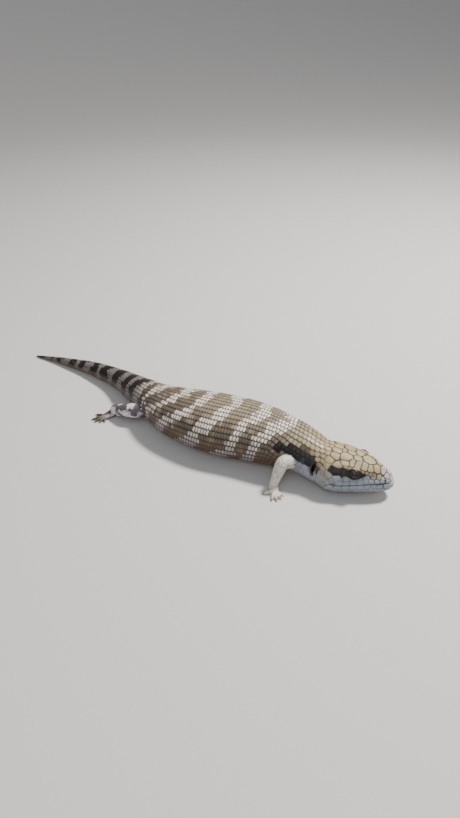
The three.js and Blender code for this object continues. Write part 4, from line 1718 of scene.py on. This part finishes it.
def tinted(name, mottle, rough, bump, **constant):
    """A material in the mesh's own colours, with mottling, uneven gloss and fine relief.

    mottle is its size and the range it takes the brightness over, rough the range of
    roughness, and bump the size and depth in mm of the relief.
    """
    material = bpy.data.materials.new(name)
    material.use_nodes = True
    tree = material.node_tree
    shader = tree.nodes["Principled BSDF"]
    colour = node(tree, "ShaderNodeAttribute", attribute_name="tint").outputs["Color"]
    size, low, high = mottle
    bright = spread(tree, noise(tree, size), low, high)
    colour = node(tree, "ShaderNodeVectorMath", {0: colour, 1: bright}, operation="MULTIPLY").outputs[0]
    tree.links.new(colour, shader.inputs["Base Color"])
    tree.links.new(spread(tree, noise(tree, size * 0.6), *rough), shader.inputs["Roughness"])
    fine = node(tree, "ShaderNodeBump", {
        "Height": noise(tree, bump[0], 3.0), "Strength": 0.6, "Distance": bump[1] * MM})
    tree.links.new(fine.outputs[0], shader.inputs["Normal"])
    for key, value in constant.items():
        shader.inputs[key.replace("_", " ")].default_value = value
    return material


# Camera, light and floor
def place_facing(name, data, position, target):
    """A camera or lamp at a place in metres, turned towards another."""
    obj = new_object(name, data)
    obj.location = position
    obj.rotation_euler = (Vector(position) - Vector(target)).to_track_quat("Z", "Y").to_euler()
    return obj


def make_camera():
    data = bpy.data.cameras.new("camera")
    data.sensor_width = 36
    data.lens = FOCAL_PIXELS * data.sensor_width / IMAGE_HEIGHT
    data.clip_start = 0.01
    back = np.array([
        math.sin(CAMERA_AZIMUTH) * math.cos(CAMERA_ELEVATION),
        -math.cos(CAMERA_AZIMUTH) * math.cos(CAMERA_ELEVATION),
        math.sin(CAMERA_ELEVATION),
    ])
    target = CAMERA_TARGET + SHIFT
    bpy.context.scene.camera = place_facing(
        "camera", data, (target + back * CAMERA_DISTANCE) * MM, target * MM)


def make_light(name, position, size, power, colour):
    data = bpy.data.lights.new(name, "AREA")
    data.shape = "DISK"
    data.size = size
    data.energy = power
    data.color = colour
    place_facing(name, data, position, LIT_SPOT)


def make_world():
    world = bpy.data.worlds.new("studio")
    world.use_nodes = True
    background = world.node_tree.nodes["Background"]
    background.inputs["Color"].default_value = SKY_COLOUR
    background.inputs["Strength"].default_value = SKY_STRENGTH
    bpy.context.scene.world = world


def make_floor():
    """A flat floor that curves up far behind the model on every side."""
    curve = np.radians(np.linspace(0, 80, 17))
    reach = np.concatenate([[0.001, FLOOR_FLAT / 2], FLOOR_FLAT + FLOOR_CURVE * np.sin(curve)])
    height = np.concatenate([[0, 0], FLOOR_CURVE * (1 - np.cos(curve))])
    around = np.linspace(0, 2 * math.pi, 97)[:-1]
    points = np.stack([
        reach[:, None] * np.cos(around),
        reach[:, None] * np.sin(around),
        np.broadcast_to(height[:, None], (len(reach), len(around)))], -1)
    floor = add_mesh("floor", *closed_tube(points)[:3])
    material = bpy.data.materials.new("floor")
    material.use_nodes = True
    shader = material.node_tree.nodes["Principled BSDF"]
    shader.inputs["Base Color"].default_value = FLOOR_COLOUR
    shader.inputs["Roughness"].default_value = 0.8
    floor.data.materials.append(material)


make_camera()
for name, light in LIGHTS.items():
    make_light(name, **light)
make_world()
make_floor()

scale_material = tinted(
    "scales", mottle=(1.3, 0.9, 1.08), rough=(0.36, 0.5), bump=(0.35, 0.06),
    Coat_Weight=0.06, Specular_IOR_Level=0.22)
skin_material = tinted("skin", mottle=(1.0, 0.85, 1.1), rough=(0.45, 0.62), bump=(0.4, 0.08))
horn_material = tinted("horn", mottle=(0.8, 0.85, 1.1), rough=(0.3, 0.45), bump=(0.25, 0.03))
eye_material = tinted(
    "eye", mottle=(0.5, 0.9, 1.1), rough=(0.05, 0.1), bump=(0.5, 0.004),
    Coat_Weight=1.0, Coat_Roughness=0.03, Specular_IOR_Level=0.0)

skin = make_skin()
skin_faces = tree_of_faces(skin.data)
flesh = [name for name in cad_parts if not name.startswith("eye")]
finish_piece(skin, skin_material, "skin", *flesh)
head_coat(scale_material)
body_coat(scale_material, skin_faces)
feet_coat(scale_material, skin_faces)
legs_coat(scale_material, skin, skin_faces)
make_eye(1, eye_material)
make_eye(-1, eye_material)
make_claws(horn_material)
